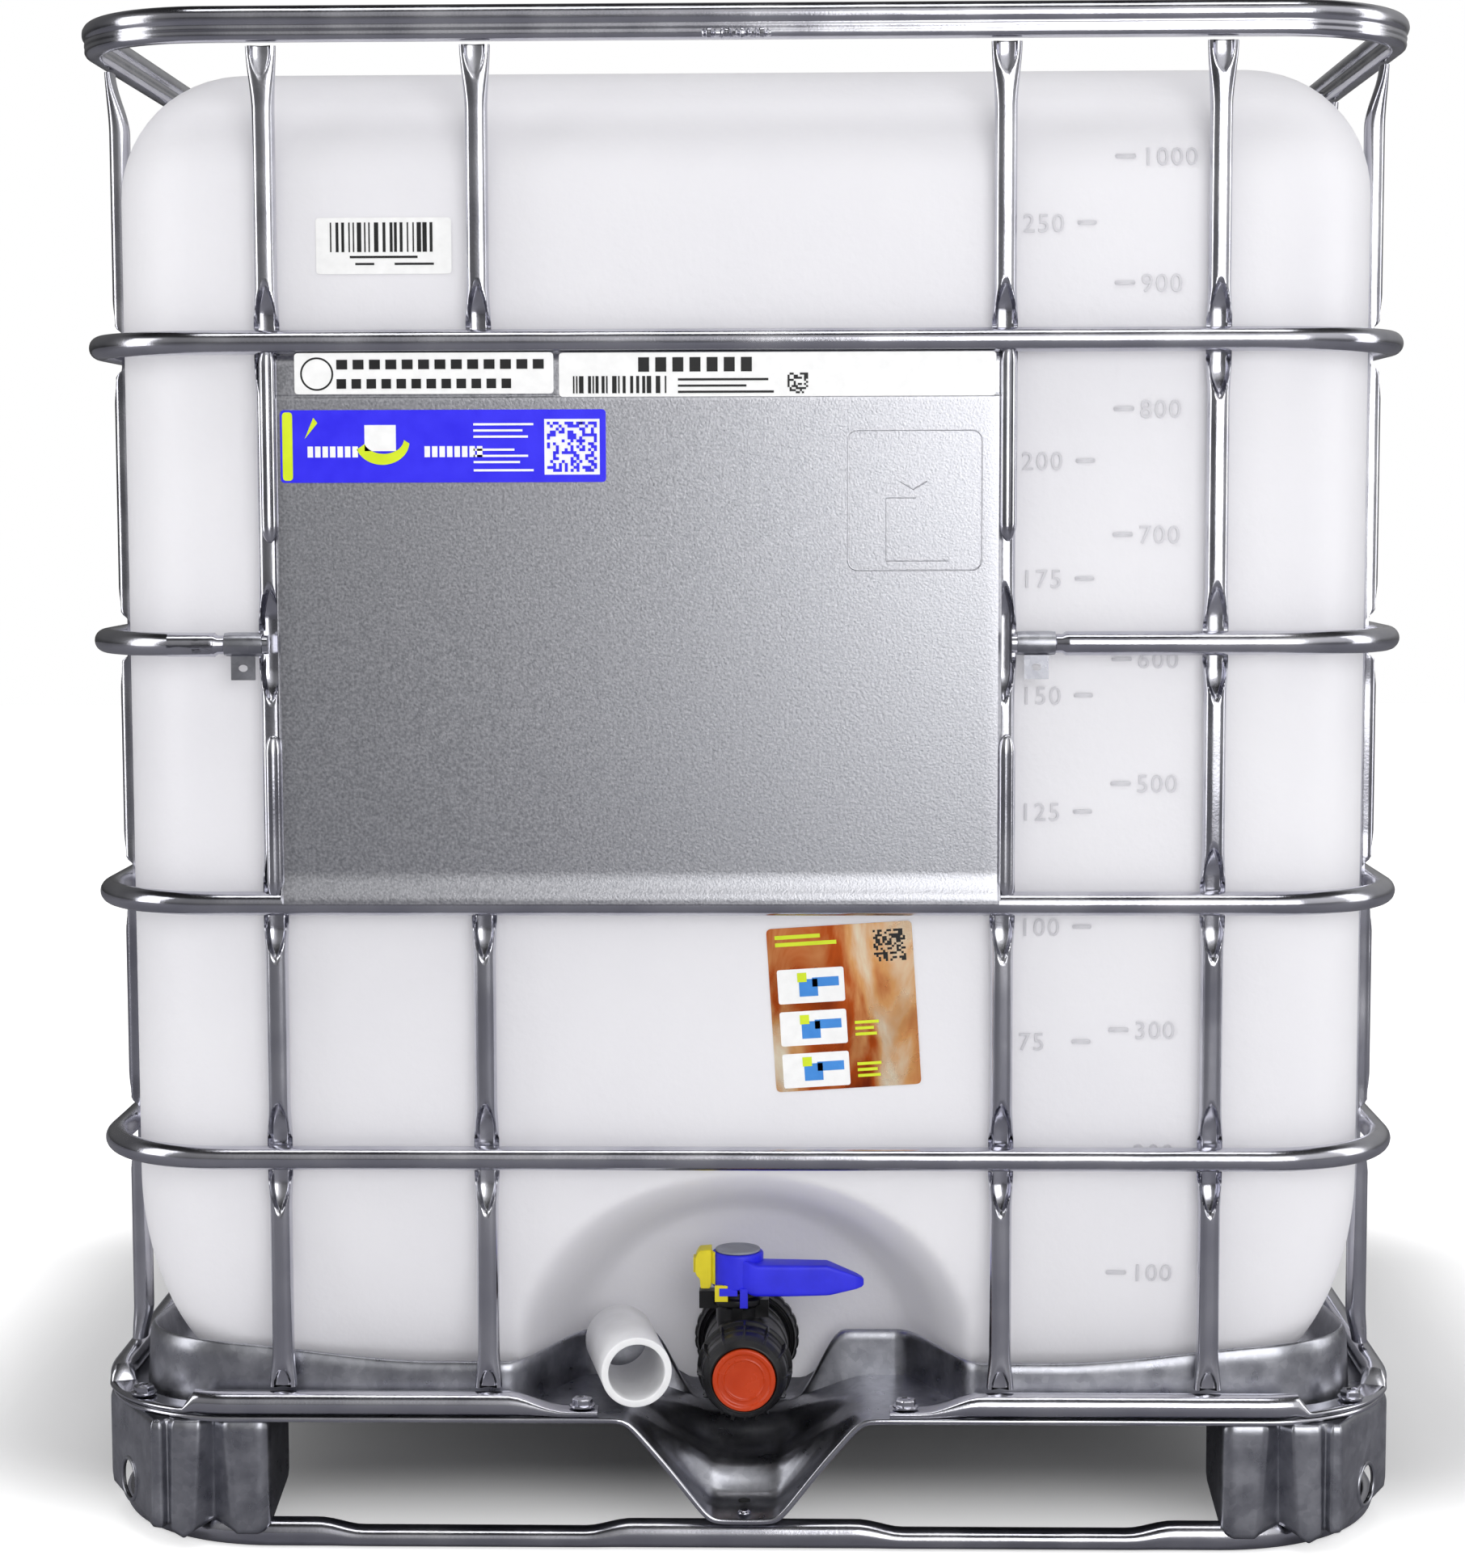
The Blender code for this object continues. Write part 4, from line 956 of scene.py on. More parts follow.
    def build(self) -> None:
        """Build every level tube of the cage."""
        for node in ("cage_ring_2", "cage_ring_4", "cage_ring_5"):
            self.build_ring(node)
        clamp_left, clamp_right = span("plate_clamp_left"), span("plate_clamp_right")
        self.build_open_ring(
            "cage_ring_3", float(clamp_left[1][0]) + 0.008, float(clamp_right[0][0]) - 0.008
        )
        self.build_top_ring()
        self.build_rail()
        for node in ("cross_bar_front", "cross_bar_rear"):
            self.build_cross_bar(node)


@dataclass
class Uprights:
    """The upright tubes, scooped in above and below every ring that crosses them."""

    half_width: float = 0.00825
    pressed_half_width: float = 0.0094
    front: float = 0.0083
    back: float = 0.0238
    pressed: float = 0.0186
    dish: float = 0.02
    half_cross: float = 0.0105
    scoop: float = 0.034
    scoop_half: float = 0.007
    rim: float = 0.0021
    top_half_width: float = 0.0112
    top_scoop: float = 0.027
    foot_half_width: float = 0.0104
    foot_scoop: float = 0.02
    power: float = 2.6

    def stations(self, low: float, high: float, rings: Array) -> Array:
        """Heights that crowd round the rings and the ends."""
        near = np.linspace(-0.052, 0.052, 43)
        heights = np.concatenate((
            np.linspace(low, low + 0.035, 15), np.linspace(high - 0.06, high, 27),
            (rings[:, None] + near[None]).ravel(), np.arange(low, high, 0.014),
        ))
        heights = np.unique(np.round(heights, 4))
        return heights[(heights >= low) & (heights <= high)]

    def surface(self, low: float, high: float, rings: Array) -> Array:
        """Offsets of one upright as heights x places round it x (across, depth, height).

        Round the tube the section is a superellipse. Near a ring its front is pushed back inside a
        pointed oval, whose half width is scoop_half times 1 less a power of the distance from the
        ring, so the tube's sides stay up as two rims that meet at the oval's tip.
        """
        z = self.stations(low, high, rings)
        away = (np.abs(z[:, None] - rings[None]).min(axis=1) - self.half_cross) / self.scoop
        from_top, from_foot = (high - z) / self.top_scoop, (z - low) / self.foot_scoop
        near = ease(1.0 - away / 0.9)
        top, foot = ease(1.0 - (high - z) / 0.05), ease(1.0 - (z - low) / 0.03)
        wide = self.half_width + (self.pressed_half_width - self.half_width) * near
        wide = (
            wide + (self.top_half_width - self.half_width) * top
            + (self.foot_half_width - self.half_width) * foot
        )
        front = self.front - 0.0021 * top - 0.0015 * foot
        back = self.back - 0.0113 * top - 0.0053 * foot
        turn = np.concatenate(
            (np.linspace(0.0, math.pi, 33), np.linspace(math.pi, 2.0 * math.pi, 13)[1:-1])
        )
        across = wide[:, None] * np.sign(np.cos(turn)) * np.abs(np.cos(turn)) ** (2.0 / self.power)
        out = np.sign(np.sin(turn)) * np.abs(np.sin(turn)) ** (2.0 / self.power)
        depth = (front + back)[:, None] / 2.0 - out[None] * (back - front)[:, None] / 2.0
        facing = out[None] > 0.02
        for reach, half, floor in (
            (away, self.scoop_half, self.dish),
            (from_top, 0.0072, 0.011),
            (from_foot, 0.0062, 0.0125),
        ):
            t = np.clip(reach, 0.0, 1.0)[:, None]
            oval = half * (1.0 - np.clip((t - 0.3) / 0.7, 0.0, 1.0) ** 1.8) - 0.004 * (t >= 1.0)
            inside = ease((oval - np.abs(across)) / self.rim + 0.35)
            dish = (
                front[:, None]
                + (floor - front)[:, None] * np.sin(np.clip((1.0 - t) / 0.75, 0.0, 1.0) * math.pi / 2.0)
            )
            dish = dish - 0.0016 * (across / half) ** 2
            depth = np.where(facing, depth + inside * np.maximum(dish - depth, 0.0), depth)
        rim = front + (self.pressed - front) * ease(1.0 - away / 0.36)
        depth = np.where(facing, np.maximum(depth, np.where(away < 0.36, rim, 0.0)[:, None]), depth)
        depth = np.minimum(depth, back[:, None])
        return np.stack((across, depth, np.broadcast_to(z[:, None], depth.shape)), axis=-1)

    def build(self) -> None:
        """Build the front, rear, left and right uprights from one worked-out surface."""
        low, high = span("upright_front_1")
        rings = np.array([middle(f"cage_ring_{k}")[2] for k in (2, 3, 4, 5)])
        shape = self.surface(float(low[2]), float(high[2]), rings)
        cad_low, cad_high = (np.array(v) for v in CAD_BOX)
        sides = {
            "front": (0.0, -1.0, 4), "rear": (0.0, 1.0, 4), "left": (-1.0, 0.0, 5), "right": (1.0, 0.0, 5)
        }
        for side, (out_x, out_y, count) in sides.items():
            for number in range(1, count + 1):
                node = f"upright_{side}_{number}"
                spot = middle(node)
                face = np.where(np.array((out_x, out_y)) > 0, cad_high[:2], cad_low[:2])
                origin = np.where(np.array((out_x, out_y)) != 0, face, spot[:2])
                x = origin[0] - shape[..., 1] * out_x - shape[..., 0] * out_y
                y = origin[1] - shape[..., 1] * out_y + shape[..., 0] * out_x
                tube = closed_ends(np.stack((x, y, shape[..., 2]), axis=-1))
                Skin().grid(tube, False, True).piece(node + "_tube", TUBE, stands_for=[node], sharp=60.0)


# ------------------------------------------------------------------ label plate


def bars(rows: Sequence[Sequence[float]], front: float, rise: float) -> Skin:
    """Flat print: a closed box for each (left, bottom, right, top) rectangle, rise thick at front."""
    cells = np.array(rows, dtype=float)
    low = np.column_stack((cells[:, 0], np.full(len(cells), front - rise), cells[:, 1]))
    high = np.column_stack((cells[:, 2], np.full(len(cells), front + 0.5 * rise), cells[:, 3]))
    return Skin().boxes(low, high)


def sticker(
    left: float, bottom: float, right: float, top: float, front: float, thick: float, corner: float = 0.003
) -> Skin:
    """Thin sheet with round corners that lies on a face whose y is front."""
    outline = soften(((left, bottom), (right, bottom), (right, top), (left, top)), corner, 6)
    sheet = slab(outline, 0.0, thick, thick * 0.3)
    return Skin().grid(
        np.stack((sheet[..., 0], front - sheet[..., 2], sheet[..., 1]), axis=-1), False, True
    )


def stripes(left: float, right: float, bottom: float, top: float, seed: int, unit: float) -> list[
    tuple[float, float, float, float]
]:
    """Upright bars of seeded random widths, one to three units, with gaps of one to three."""
    chance = np.random.default_rng(seed)
    steps = chance.integers(1, 4, size=400) * unit
    edges = left + np.cumsum(steps)
    pairs = edges[: 2 * (len(edges) // 2)].reshape(-1, 2)
    return [(float(a), bottom, float(b), top) for a, b in pairs if b < right]


def checks(left: float, bottom: float, size: float, cells: int, seed: int) -> list[
    tuple[float, float, float, float]
]:
    """Squares of a seeded random check pattern."""
    chance = np.random.default_rng(seed)
    step = size / cells
    picked = np.argwhere(chance.random((cells, cells)) < 0.48)
    return [
        (left + a * step, bottom + b * step, left + (a + 1) * step, bottom + (b + 1) * step)
        for a, b in picked
    ]


@dataclass
class LabelPlate:
    """Sheet plate in the cage front, with folded sides, stickers and the two ring clamps."""

    sheet: float = 0.0012
    fold_z: float = 0.869
    groove: float = 0.0009
    film: float = 0.00025
    lip_drop: float = 0.009

    def build_sheet(self) -> None:
        """The plate: a height field that dips along the fold line and rolls over at all four edges."""
        low, high = span("label_plate")
        left, right, bottom, top = low[0] + 0.009, high[0] - 0.009, low[2], high[2]
        front = low[1]
        ease_in = np.array((0.0, 0.0006, 0.0014, 0.0026, 0.0045))
        x = np.concatenate(
            (left + ease_in, np.linspace(left + 0.012, right - 0.012, 60), (right - ease_in)[::-1])
        )
        fold = self.fold_z + np.array((-0.004, -0.002, -0.0012, -0.0005, 0.0, 0.0005, 0.0012, 0.002, 0.004))
        z = np.concatenate((
            bottom - self.lip_drop + ease_in, np.linspace(bottom, self.fold_z - 0.012, 46), fold,
            np.linspace(self.fold_z + 0.012, top - 0.008, 6), (top - ease_in)[::-1]
        ))
        grid_x, grid_z = np.meshgrid(x, z)
        edge = np.minimum(grid_x - left, right - grid_x)
        roll = 0.0026 * (1.0 - ease(edge / 0.003)) + 0.004 * (1.0 - ease((top - grid_z) / 0.0045))
        dip = self.groove * np.exp(-(((grid_z - self.fold_z) / 0.001) ** 2))
        step = 0.0007 * ease((grid_z - self.fold_z) / 0.002)
        lip = -0.0046 * ease((bottom + 0.004 - grid_z) / 0.006)
        sway = 0.0003 * np.sin(grid_x * 11.0 + 1.0) * np.sin(grid_z * 13.0)
        depth = front + roll + dip + step + lip + sway
        surface = np.stack((grid_x, depth, grid_z), axis=-1)
        Skin().grid(surface).piece(
            "label_plate_sheet", PLATE, stands_for=["label_plate"], inside=(0.0, 0.0, 0.7), wall=self.sheet
        )

    def build_side_folds(self) -> None:
        """Rolled side flanges: a flattened half round carried up each side, pointed at its ends."""
        low, high = span("label_plate")
        runs = ((low[2] - 0.007, 0.62), (0.762, high[2] + 0.006))
        for name, centre in (("left", low[0] + 0.0046), ("right", high[0] - 0.0046)):
            skin = Skin()
            for foot, head in runs:
                z = np.linspace(foot, head, 70)
                taper = np.sqrt(
                    np.clip(
                        1.0 - (np.clip(0.014 - np.minimum(z - foot, head - z), 0.0, None) / 0.0142) ** 2,
                        0.0, 1.0
                    )
                )
                shape = superellipse(1.0, 1.0, 28, 2.3)
                pinch = 1.0 - 0.28 * np.exp(-(((shape[:, 1] + 0.25) / 0.16) ** 2)) * (shape[:, 0] > 0)
                section = np.column_stack((shape[:, 0] * 0.0044 * pinch, shape[:, 1] * 0.0062))
                path = np.column_stack((np.full(70, centre), np.full(70, low[1] + 0.0034), z))
                outward = forwards(70)
                grown = section[None] * taper[:, None, None]
                skin.strand(path, outward, grown)
            skin.piece(f"label_plate_fold_{name}", TUBE, sharp=60.0)

    def build_embossing(self) -> None:
        """Raised lines: a small half round carried round an oblong and along a stepped mark."""
        front = float(span("label_plate")[0][1])
        oblong = resample(
            soften(((0.078, 0.741), (0.176, 0.741), (0.176, 0.843), (0.078, 0.843)), 0.008, 7), 200
        )
        marks = (
            (oblong, True),
            (np.array(((0.106, 0.748), (0.106, 0.794), (0.128, 0.794))), False),
            (np.array(((0.106, 0.748), (0.152, 0.748))), False),
            (np.array(((0.116, 0.806), (0.126, 0.8), (0.136, 0.806))), False),
        )
        skin = Skin()
        for line, closed in marks:
            line = line if closed else resample(line, 40, closed=False)
            path = np.column_stack((line[:, 0], np.full(len(line), front), line[:, 1]))
            outward = forwards(len(line))
            tube = carry(path, outward, superellipse(0.0005, 0.0006, 8), closed)
            skin.grid(tube if closed else closed_ends(tube), closed, True)
        skin.piece("label_plate_embossing", PLATE, sharp=60.0)

    def build_stickers(self) -> None:
        """Two white paper stickers over the fold and a blue film sticker with a lime band below it."""
        front = float(span("label_plate")[0][1]) - 0.0003
        face = front - self.film
        sticker(-0.327, 0.8705, -0.137, 0.9005, front + 0.0007, 0.0009).piece("approval_sticker", PAPER)
        sticker(-0.133, 0.868, 0.186, 0.9, front + 0.0007, 0.0009).piece("batch_sticker", PAPER)
        sticker(-0.338, 0.806, -0.099, 0.859, front, 0.0003).piece("service_sticker", BLUE_FILM)
        rule = [(-0.296 + 0.012 * k, 0.8885, -0.288 + 0.012 * k, 0.8955) for k in range(13)]
        rule += [(-0.296 + 0.011 * k, 0.8745, -0.289 + 0.011 * k, 0.8815) for k in range(12)]
        rule += stripes(-0.126, -0.052, 0.8705, 0.883, 3, 0.0011)
        rule += [(-0.075 + 0.0125 * k, 0.886, -0.067 + 0.0125 * k, 0.8965) for k in range(7)]
        rule += [
            (-0.046, 0.8795, 0.02, 0.8812), (-0.046, 0.875, 0.004, 0.8766), (-0.046, 0.8705, 0.024, 0.8722)
        ]
        rule += checks(0.034, 0.87, 0.015, 10, 5)
        bars(rule, front - 0.0002, self.film).piece("plate_sticker_print", INK)
        ring = resample(superellipse(0.0115, 0.0115, 48), 48)
        path = np.column_stack((ring[:, 0] - 0.3105, np.full(48, front - 0.0002), ring[:, 1] + 0.8852))
        loop = carry(path, forwards(48), superellipse(self.film, 0.0007, 8))
        Skin().grid(loop, True, True).piece("approval_sticker_ring", INK)
        self.build_film_print(face)

    def build_film_print(self, face: float) -> None:
        """Marks on the blue film: a lime band with an arrow, white bars for lines and a check block."""
        front = face - 0.0001
        sticker(-0.3365, 0.8075, -0.329, 0.8575, front, self.film).piece("service_band", LIME_FILM)
        beak = soften(((-0.32, 0.838), (-0.3135, 0.8535), (-0.3105, 0.8495)), 0.0003, 3)
        bow = np.linspace(math.radians(200.0), math.radians(355.0), 30)
        outer = np.column_stack((-0.263 + 0.02 * np.cos(bow), 0.836 + 0.017 * np.sin(bow)))
        inner = np.column_stack((-0.262 + 0.015 * np.cos(bow), 0.838 + 0.011 * np.sin(bow)))[::-1]
        skin = Skin()
        for outline in (beak, np.vstack((outer, inner))):
            half = len(outline) // 2
            strip = np.stack((outline[:half], outline[: len(outline) - half - 1 : -1]))
            flat = np.concatenate((strip, strip[::-1]))
            depth = np.array((front - self.film,) * 2 + (front + self.film,) * 2)[:, None]
            grid = np.stack((flat[..., 0], np.broadcast_to(depth, flat.shape[:2]), flat[..., 1]), axis=-1)
            skin.grid(grid, True, False)
        skin.piece("service_arrow", LIME_FILM)
        rows = [(-0.318 + 0.0055 * k, 0.8245, -0.314 + 0.0055 * k, 0.8325) for k in range(7)]
        rows += [(-0.232 + 0.0055 * k, 0.8245, -0.228 + 0.0055 * k, 0.8325) for k in range(8)]
        rows += [(-0.276, 0.829, -0.253, 0.848)]
        rows += [(-0.196, z, -0.196 + w, z + 0.0016) for z, w in (
            (0.8475, 0.044), (0.843, 0.036), (0.8385, 0.04), (0.829, 0.03), (0.8245, 0.04), (0.82, 0.034),
            (0.814, 0.044)
        )]
        rows += [(-0.144, 0.8115, -0.1035, 0.852)]
        bars(rows, front, self.film).piece("service_print_white", PAPER)
        block = checks(-0.142, 0.8135, 0.0365, 17, 9)
        bars(block, front - self.film, self.film).piece("service_print_block", BLUE_FILM)

    def build_clamp(self, node: str) -> None:
        """Clamp: a strap rolled round the ring's end, its tab hanging down with a slot in it."""
        low, high = span(node)
        ring = middle("cage_ring_3")
        centre = np.array((0.0, span("cage_ring_3")[0][1] + 0.009, ring[2]))
        turn = np.radians(np.linspace(-122.0, -432.0, 50))
        outer = np.column_stack((0.0092 * np.cos(turn), 0.0092 * np.sin(turn)))
        inner = np.column_stack((0.0078 * np.cos(turn[::-1]), 0.0078 * np.sin(turn[::-1])))
        strap = np.vstack((outer, inner))
        x = np.array((low[0] - 0.004, low[0], high[0], high[0] + 0.004))
        slimmer = np.array((0.96, 1.0, 1.0, 0.96))[:, None]
        grid = np.stack((
            np.broadcast_to(x[:, None], (4, len(strap))),
            centre[1] + strap[None, :, 0] * slimmer, centre[2] + strap[None, :, 1] * slimmer,
        ), axis=-1)
        half = len(strap) // 2
        skin = Skin().grid(grid, False, True)
        for end in (grid[0], grid[-1]):
            skin.grid(np.stack((end[:half], end[: half - 1 : -1])))
        turn = np.linspace(0.0, 2.0 * math.pi, 40, endpoint=False)
        tab = np.array((0.009, 0.0088))
        square = tab / np.maximum(np.abs(np.cos(turn)), np.abs(np.sin(turn)))[:, None]
        rim = np.column_stack((np.cos(turn), np.sin(turn))) * square
        hole = np.column_stack((np.cos(turn) * 0.0034, np.sin(turn) * 0.0026))
        middle_x, middle_z = (low[0] + high[0]) / 2.0, centre[2] - 0.0172
        y = centre[1] - 0.005
        rows = ((rim, y), (hole, y), (hole, y + 0.0013), (rim, y + 0.0013))
        plate = np.stack([
            np.column_stack((middle_x + line[:, 0], np.full(40, depth), middle_z + line[:, 1]))
            for line, depth in rows
        ])
        skin.grid(plate, True, True)
        skin.piece(node + "_strap", PRESSED, stands_for=[node], sharp=30.0)

    def build(self) -> None:
        """Build the plate, its folds, marks, stickers and clamps."""
        self.build_sheet()
        self.build_side_folds()
        self.build_embossing()
        self.build_stickers()
        for node in ("plate_clamp_left", "plate_clamp_right"):
            self.build_clamp(node)


# ------------------------------------------------------------------ pallet


@dataclass
class Pallet:
    """Deck pan with its drain trough, base tube, pressed feet and the bolts of the bottom rail."""

    sheet: float = 0.0015
    flange_z: float = 0.1027
    rim_z: float = 0.139
    floor_z: float = 0.116
    dent: float = 0.095
    dent_inner: float = 0.12
    dent_outer: float = 0.18
    half_top: float = 0.089
    half_bottom: float = 0.026
    front_z: float = 0.0242
    back_z: float = 0.08
    corner: float = 0.11
    corner_rise: float = 0.016
    hole_r: float = 0.0155

    def trough(self, x: Array, y: Array) -> Array:
        """Height of the trough.

        Its floor falls from back to front over two pressed steps, each a smooth step of the way
        back that bows forwards in the middle, and its sides rise in a straight slope whose ends
        are eased.
        """
        back = np.clip((y + 0.6) / 0.132, 0.0, 1.0)
        bowed = np.clip(back + 0.16 * (np.abs(x) / 0.085) ** 2, 0.0, 1.3)
        stair = (
            0.1 * ease(bowed / 0.14) + 0.44 * ease((bowed - 0.26) / 0.14)
            + 0.34 * ease((bowed - 0.62) / 0.14)
        )
        floor = self.front_z + (self.back_z - self.front_z) * (0.12 * back + stair)
        side = np.clip((np.abs(x) - self.half_bottom) / (self.half_top - self.half_bottom), -0.5, 1.5)
        soft = 0.045
        slope = soft * (np.logaddexp(0.0, side / soft) - np.logaddexp(0.0, (side - 1.0) / soft))
        return floor + (self.flange_z - floor) * np.clip(slope, 0.0, 1.0)

    def deck_rows(self) -> Array:
        """The deck's loops: insets, heights and dents along its section, laid round the outline."""
        flange = np.linspace(0.0, 1.0, 30)
        wall = soften(
            ((0.029, 0.1027, 0.079), (0.0312, 0.134, 0.0815), (0.035, 0.1395, 0.082),
             (0.0395, 0.133, 0.0825), (0.046, 0.1185, 0.083), (0.056, 0.116, 0.0835)),
            0.004, 5, closed=False,
        )[5:]
        floor = np.array(
            ((0.08, 0.116, 0.086), (0.11, 0.116, 0.091), (0.16, 0.116, 0.096), (0.26, 0.116, 0.116))
        )
        inset = np.concatenate((0.003 + 0.026 * flange, wall[:, 0], floor[:, 0]))
        height = np.concatenate((np.full(30, self.flange_z), wall[:, 1], floor[:, 1]))
        sunk = np.concatenate((np.full(30, np.nan), wall[:, 2], floor[:, 2]))
        dent = np.concatenate((flange**1.5, np.ones(len(wall) + len(floor))))
        places, outs = rounded_rectangle(
            0.5 - inset, 0.6 - inset, np.maximum(self.corner - inset, 0.02),
            counts=(130, 40, 30, 40), turns=16, crowd=0.6,
        )
        x, y = places[..., 0], places[..., 1]
        on_front = (outs[None, :, 1] < -0.99) & (np.abs(x) <= self.dent_outer)
        bay = ease((self.dent_outer - np.abs(x)) / (self.dent_outer - self.dent_inner))
        y = np.where(on_front, y + dent[:, None] * self.dent * bay, y)
        gully = np.minimum(height[:, None], self.trough(x, y))
        inner = (np.arange(len(height)) >= len(flange) + len(wall))[:, None]
        edge, reach = np.where(inner, 0.112, 0.078), np.where(inner, 0.056, 0.042)
        saddle = height[:, None] + (sunk[:, None] - height[:, None]) * ease((edge - np.abs(x)) / reach)
        low = np.where(np.isnan(sunk)[:, None], gully, saddle)
        z = np.where(on_front, low, height[:, None])
        crest = np.clip((height - self.floor_z) / (self.rim_z - self.floor_z), 0.0, 1.0)[:, None]
        crest = crest * (height > self.flange_z + 0.001)[:, None]
        corner = ease((np.abs(x) - 0.235) / 0.195) * ease((np.abs(y) - 0.335) / 0.195)
        z = z + self.corner_rise * crest * corner
        z[-1] = self.floor_z
        return np.stack((x, y, z), axis=-1)

    def build_deck(self) -> None:
        """Deck pan pressed from one sheet, with a rounded bead along its free edge."""
        rows = self.deck_rows()
        pole = np.broadcast_to(np.array((0.0, 0.0, self.floor_z)), rows[:1].shape)
        skin = Skin().grid(np.concatenate((rows, pole)), False, True)
        skin.piece(
            "deck_pan_sheet", PRESSED, stands_for=["deck_pan"], inside=(0.0, 0.0, -50.0), sharp=50.0,
            wall=self.sheet
        )
        edge = rows[0]
        outward = np.roll(edge, -1, axis=0) - np.roll(edge, 1, axis=0)
        outward = np.column_stack((outward[:, 1], -outward[:, 0], np.zeros(len(edge))))
        length = np.linalg.norm(outward, axis=1, keepdims=True)
        outward = np.where(length > 1e-6, outward / np.maximum(length, 1e-9), (0.0, -1.0, 0.0))
        edge = edge - np.array((0.0, 0.0, 0.001))
        bead = carry(edge, outward, superellipse(0.0014, 0.0021, 10))
        Skin().grid(bead, True, True).piece("deck_edge", TUBE)

    def build_base_ring(self) -> None:
        """Base tube: an ellipse carried round a rounded rectangle, pressed lower between feet and middle."""
        low, high = span("base_ring_tube")
        half_wide, half_tall = 0.0105, 0.011
        places, outs = rounded_rectangle(
            high[0] - half_wide, high[1] - half_wide, 0.125, counts=(110, 60, 60, 60), turns=24
        )
        places = places[0]
        across = np.abs(places[:, 0])
        press = ease((across - 0.085) / 0.035) * ease((0.325 - across) / 0.035) * (outs[:, 1] < -0.99)
        tall = half_tall - 0.003 * press
        path, outward = level(places, outs, tall)
        base = superellipse(1.0, 1.0, 28)
        section = np.stack((
            np.broadcast_to(base[None, :, 0] * half_wide, (len(path), 28)), base[None, :, 1] * tall[:, None]
        ), axis=-1)
        Skin().grid(carry(path, outward, section), True, True).piece(
            "base_ring_pipe", TUBE, stands_for=["base_ring_tube"]
        )

    def foot_sheet(
        self, upper: Array, lower: Array, hem: Array, radius: Array | float, count: int
    ) -> Array:
        """Wall of a foot between an upper and a lower outline.

        Both outlines are rounded and spaced alike, and a point at a share v of the height lies at
        (1 - v) lower + v upper. Near the top it moves inwards on a quarter circle.
        """
        bent = soften(np.column_stack((upper, lower, hem)), radius, 6)
        line = resample(bent, count)
        top, bottom, hem_z = line[:, :2], line[:, 2:4], line[:, 4]
        v = np.concatenate(
            (np.linspace(0.0, 0.9, 22), 1.0 - 0.1 * np.cos(np.linspace(0.1, 0.5, 9) * math.pi))
        )[:, None]
        height = hem_z + (self.flange_z - 0.0019 - hem_z) * v
        tangent = np.roll(top, -1, axis=0) - np.roll(top, 1, axis=0)
        normal = np.column_stack((tangent[:, 1], -tangent[:, 0]))
        normal /= np.linalg.norm(normal, axis=1, keepdims=True)
        if ((top - top.mean(axis=0)) * normal).sum() < 0.0:
            normal = -normal
        rise = np.clip((height - (self.flange_z - 0.0109)) / 0.009, 0.0, 1.0)
        tuck = 0.0036 * (1.0 - np.sqrt(1.0 - np.minimum(rise, 0.998) ** 2))
        flare = 0.0008 * np.exp(-(((height - hem_z) / 0.004) ** 2))
        spot = (1.0 - v)[..., None] * bottom + v[..., None] * top - (tuck + flare)[..., None] * normal
        return np.concatenate((spot, height[..., None]), axis=-1)

    def build_corner_foot(self, node: str, side_x: float, side_y: float) -> None:
        """Fluted corner foot with a rib, a tapering groove and a round hole in its corner facet."""
        upper = np.array((
            (-0.4985, -0.456), (-0.4985, -0.512), (-0.453, -0.5905), (-0.4485, -0.5985), (-0.441, -0.5985),
            (-0.4375, -0.5915), (-0.4325, -0.5975), (-0.4225, -0.5982), (-0.4115, -0.5978),
            (-0.403, -0.585),
            (-0.3944, -0.5962), (-0.39, -0.5983), (-0.365, -0.5983), (-0.359, -0.593), (-0.359, -0.506),
            (-0.383, -0.48), (-0.445, -0.452), (-0.495, -0.452),
        ))
        lower = upper.copy()
        lower[6:13, 0] = (-0.4345, -0.425, -0.417, -0.404, -0.3885, -0.3845, -0.367)
        hem = np.array((
            0.03, 0.027, 0.019, 0.018, 0.017, 0.018, 0.0145, 0.009, 0.0145, 0.02, 0.015, 0.0125, 0.0125,
            0.017, 0.03, 0.03, 0.03, 0.03,
        ))
        fillets = np.full(len(upper), 0.006)
        fillets[2:12] = 0.0022
        wall = self.foot_sheet(upper, lower, hem, fillets, 420)
        wall = wall * (-side_x, -side_y, 1.0)
        centre = (side_x * 0.43, side_y * 0.525, 0.055)
        made = Skin().grid(wall, False, True).piece(
            node + "_sheet", PRESSED, stands_for=[node], inside=centre, sharp=45.0, wall=0.0018
        )
        start = np.array((0.506 * side_x, 0.57 * side_y, 0.0405))
        end = np.array((0.44 * side_x, 0.53 * side_y, 0.0405))
        way = (end - start) / np.linalg.norm(end - start)
        spot = np.array((0.4757 * side_x, 0.5514 * side_y, 0.0405))
        across = np.cross(way, (0.0, 0.0, 1.0))
        across /= np.linalg.norm(across)
        turn = np.linspace(0.0, 2.0 * math.pi, 44, endpoint=False)
        upright = np.array((0.0, 0.0, 1.0))
        ring = self.hole_r * (np.cos(turn)[:, None] * across + np.sin(turn)[:, None] * upright)
        bore(made, Skin().grid(closed_ends(np.stack((start + ring, end + ring))), False, True))
        radial = ring / np.linalg.norm(ring, axis=1, keepdims=True)
        lip = carry(spot + ring * 1.04 - way * 0.0002, radial, superellipse(0.0016, 0.0013, 10))
        Skin().grid(lip, True, True).piece(node + "_hole_lip", PRESSED)

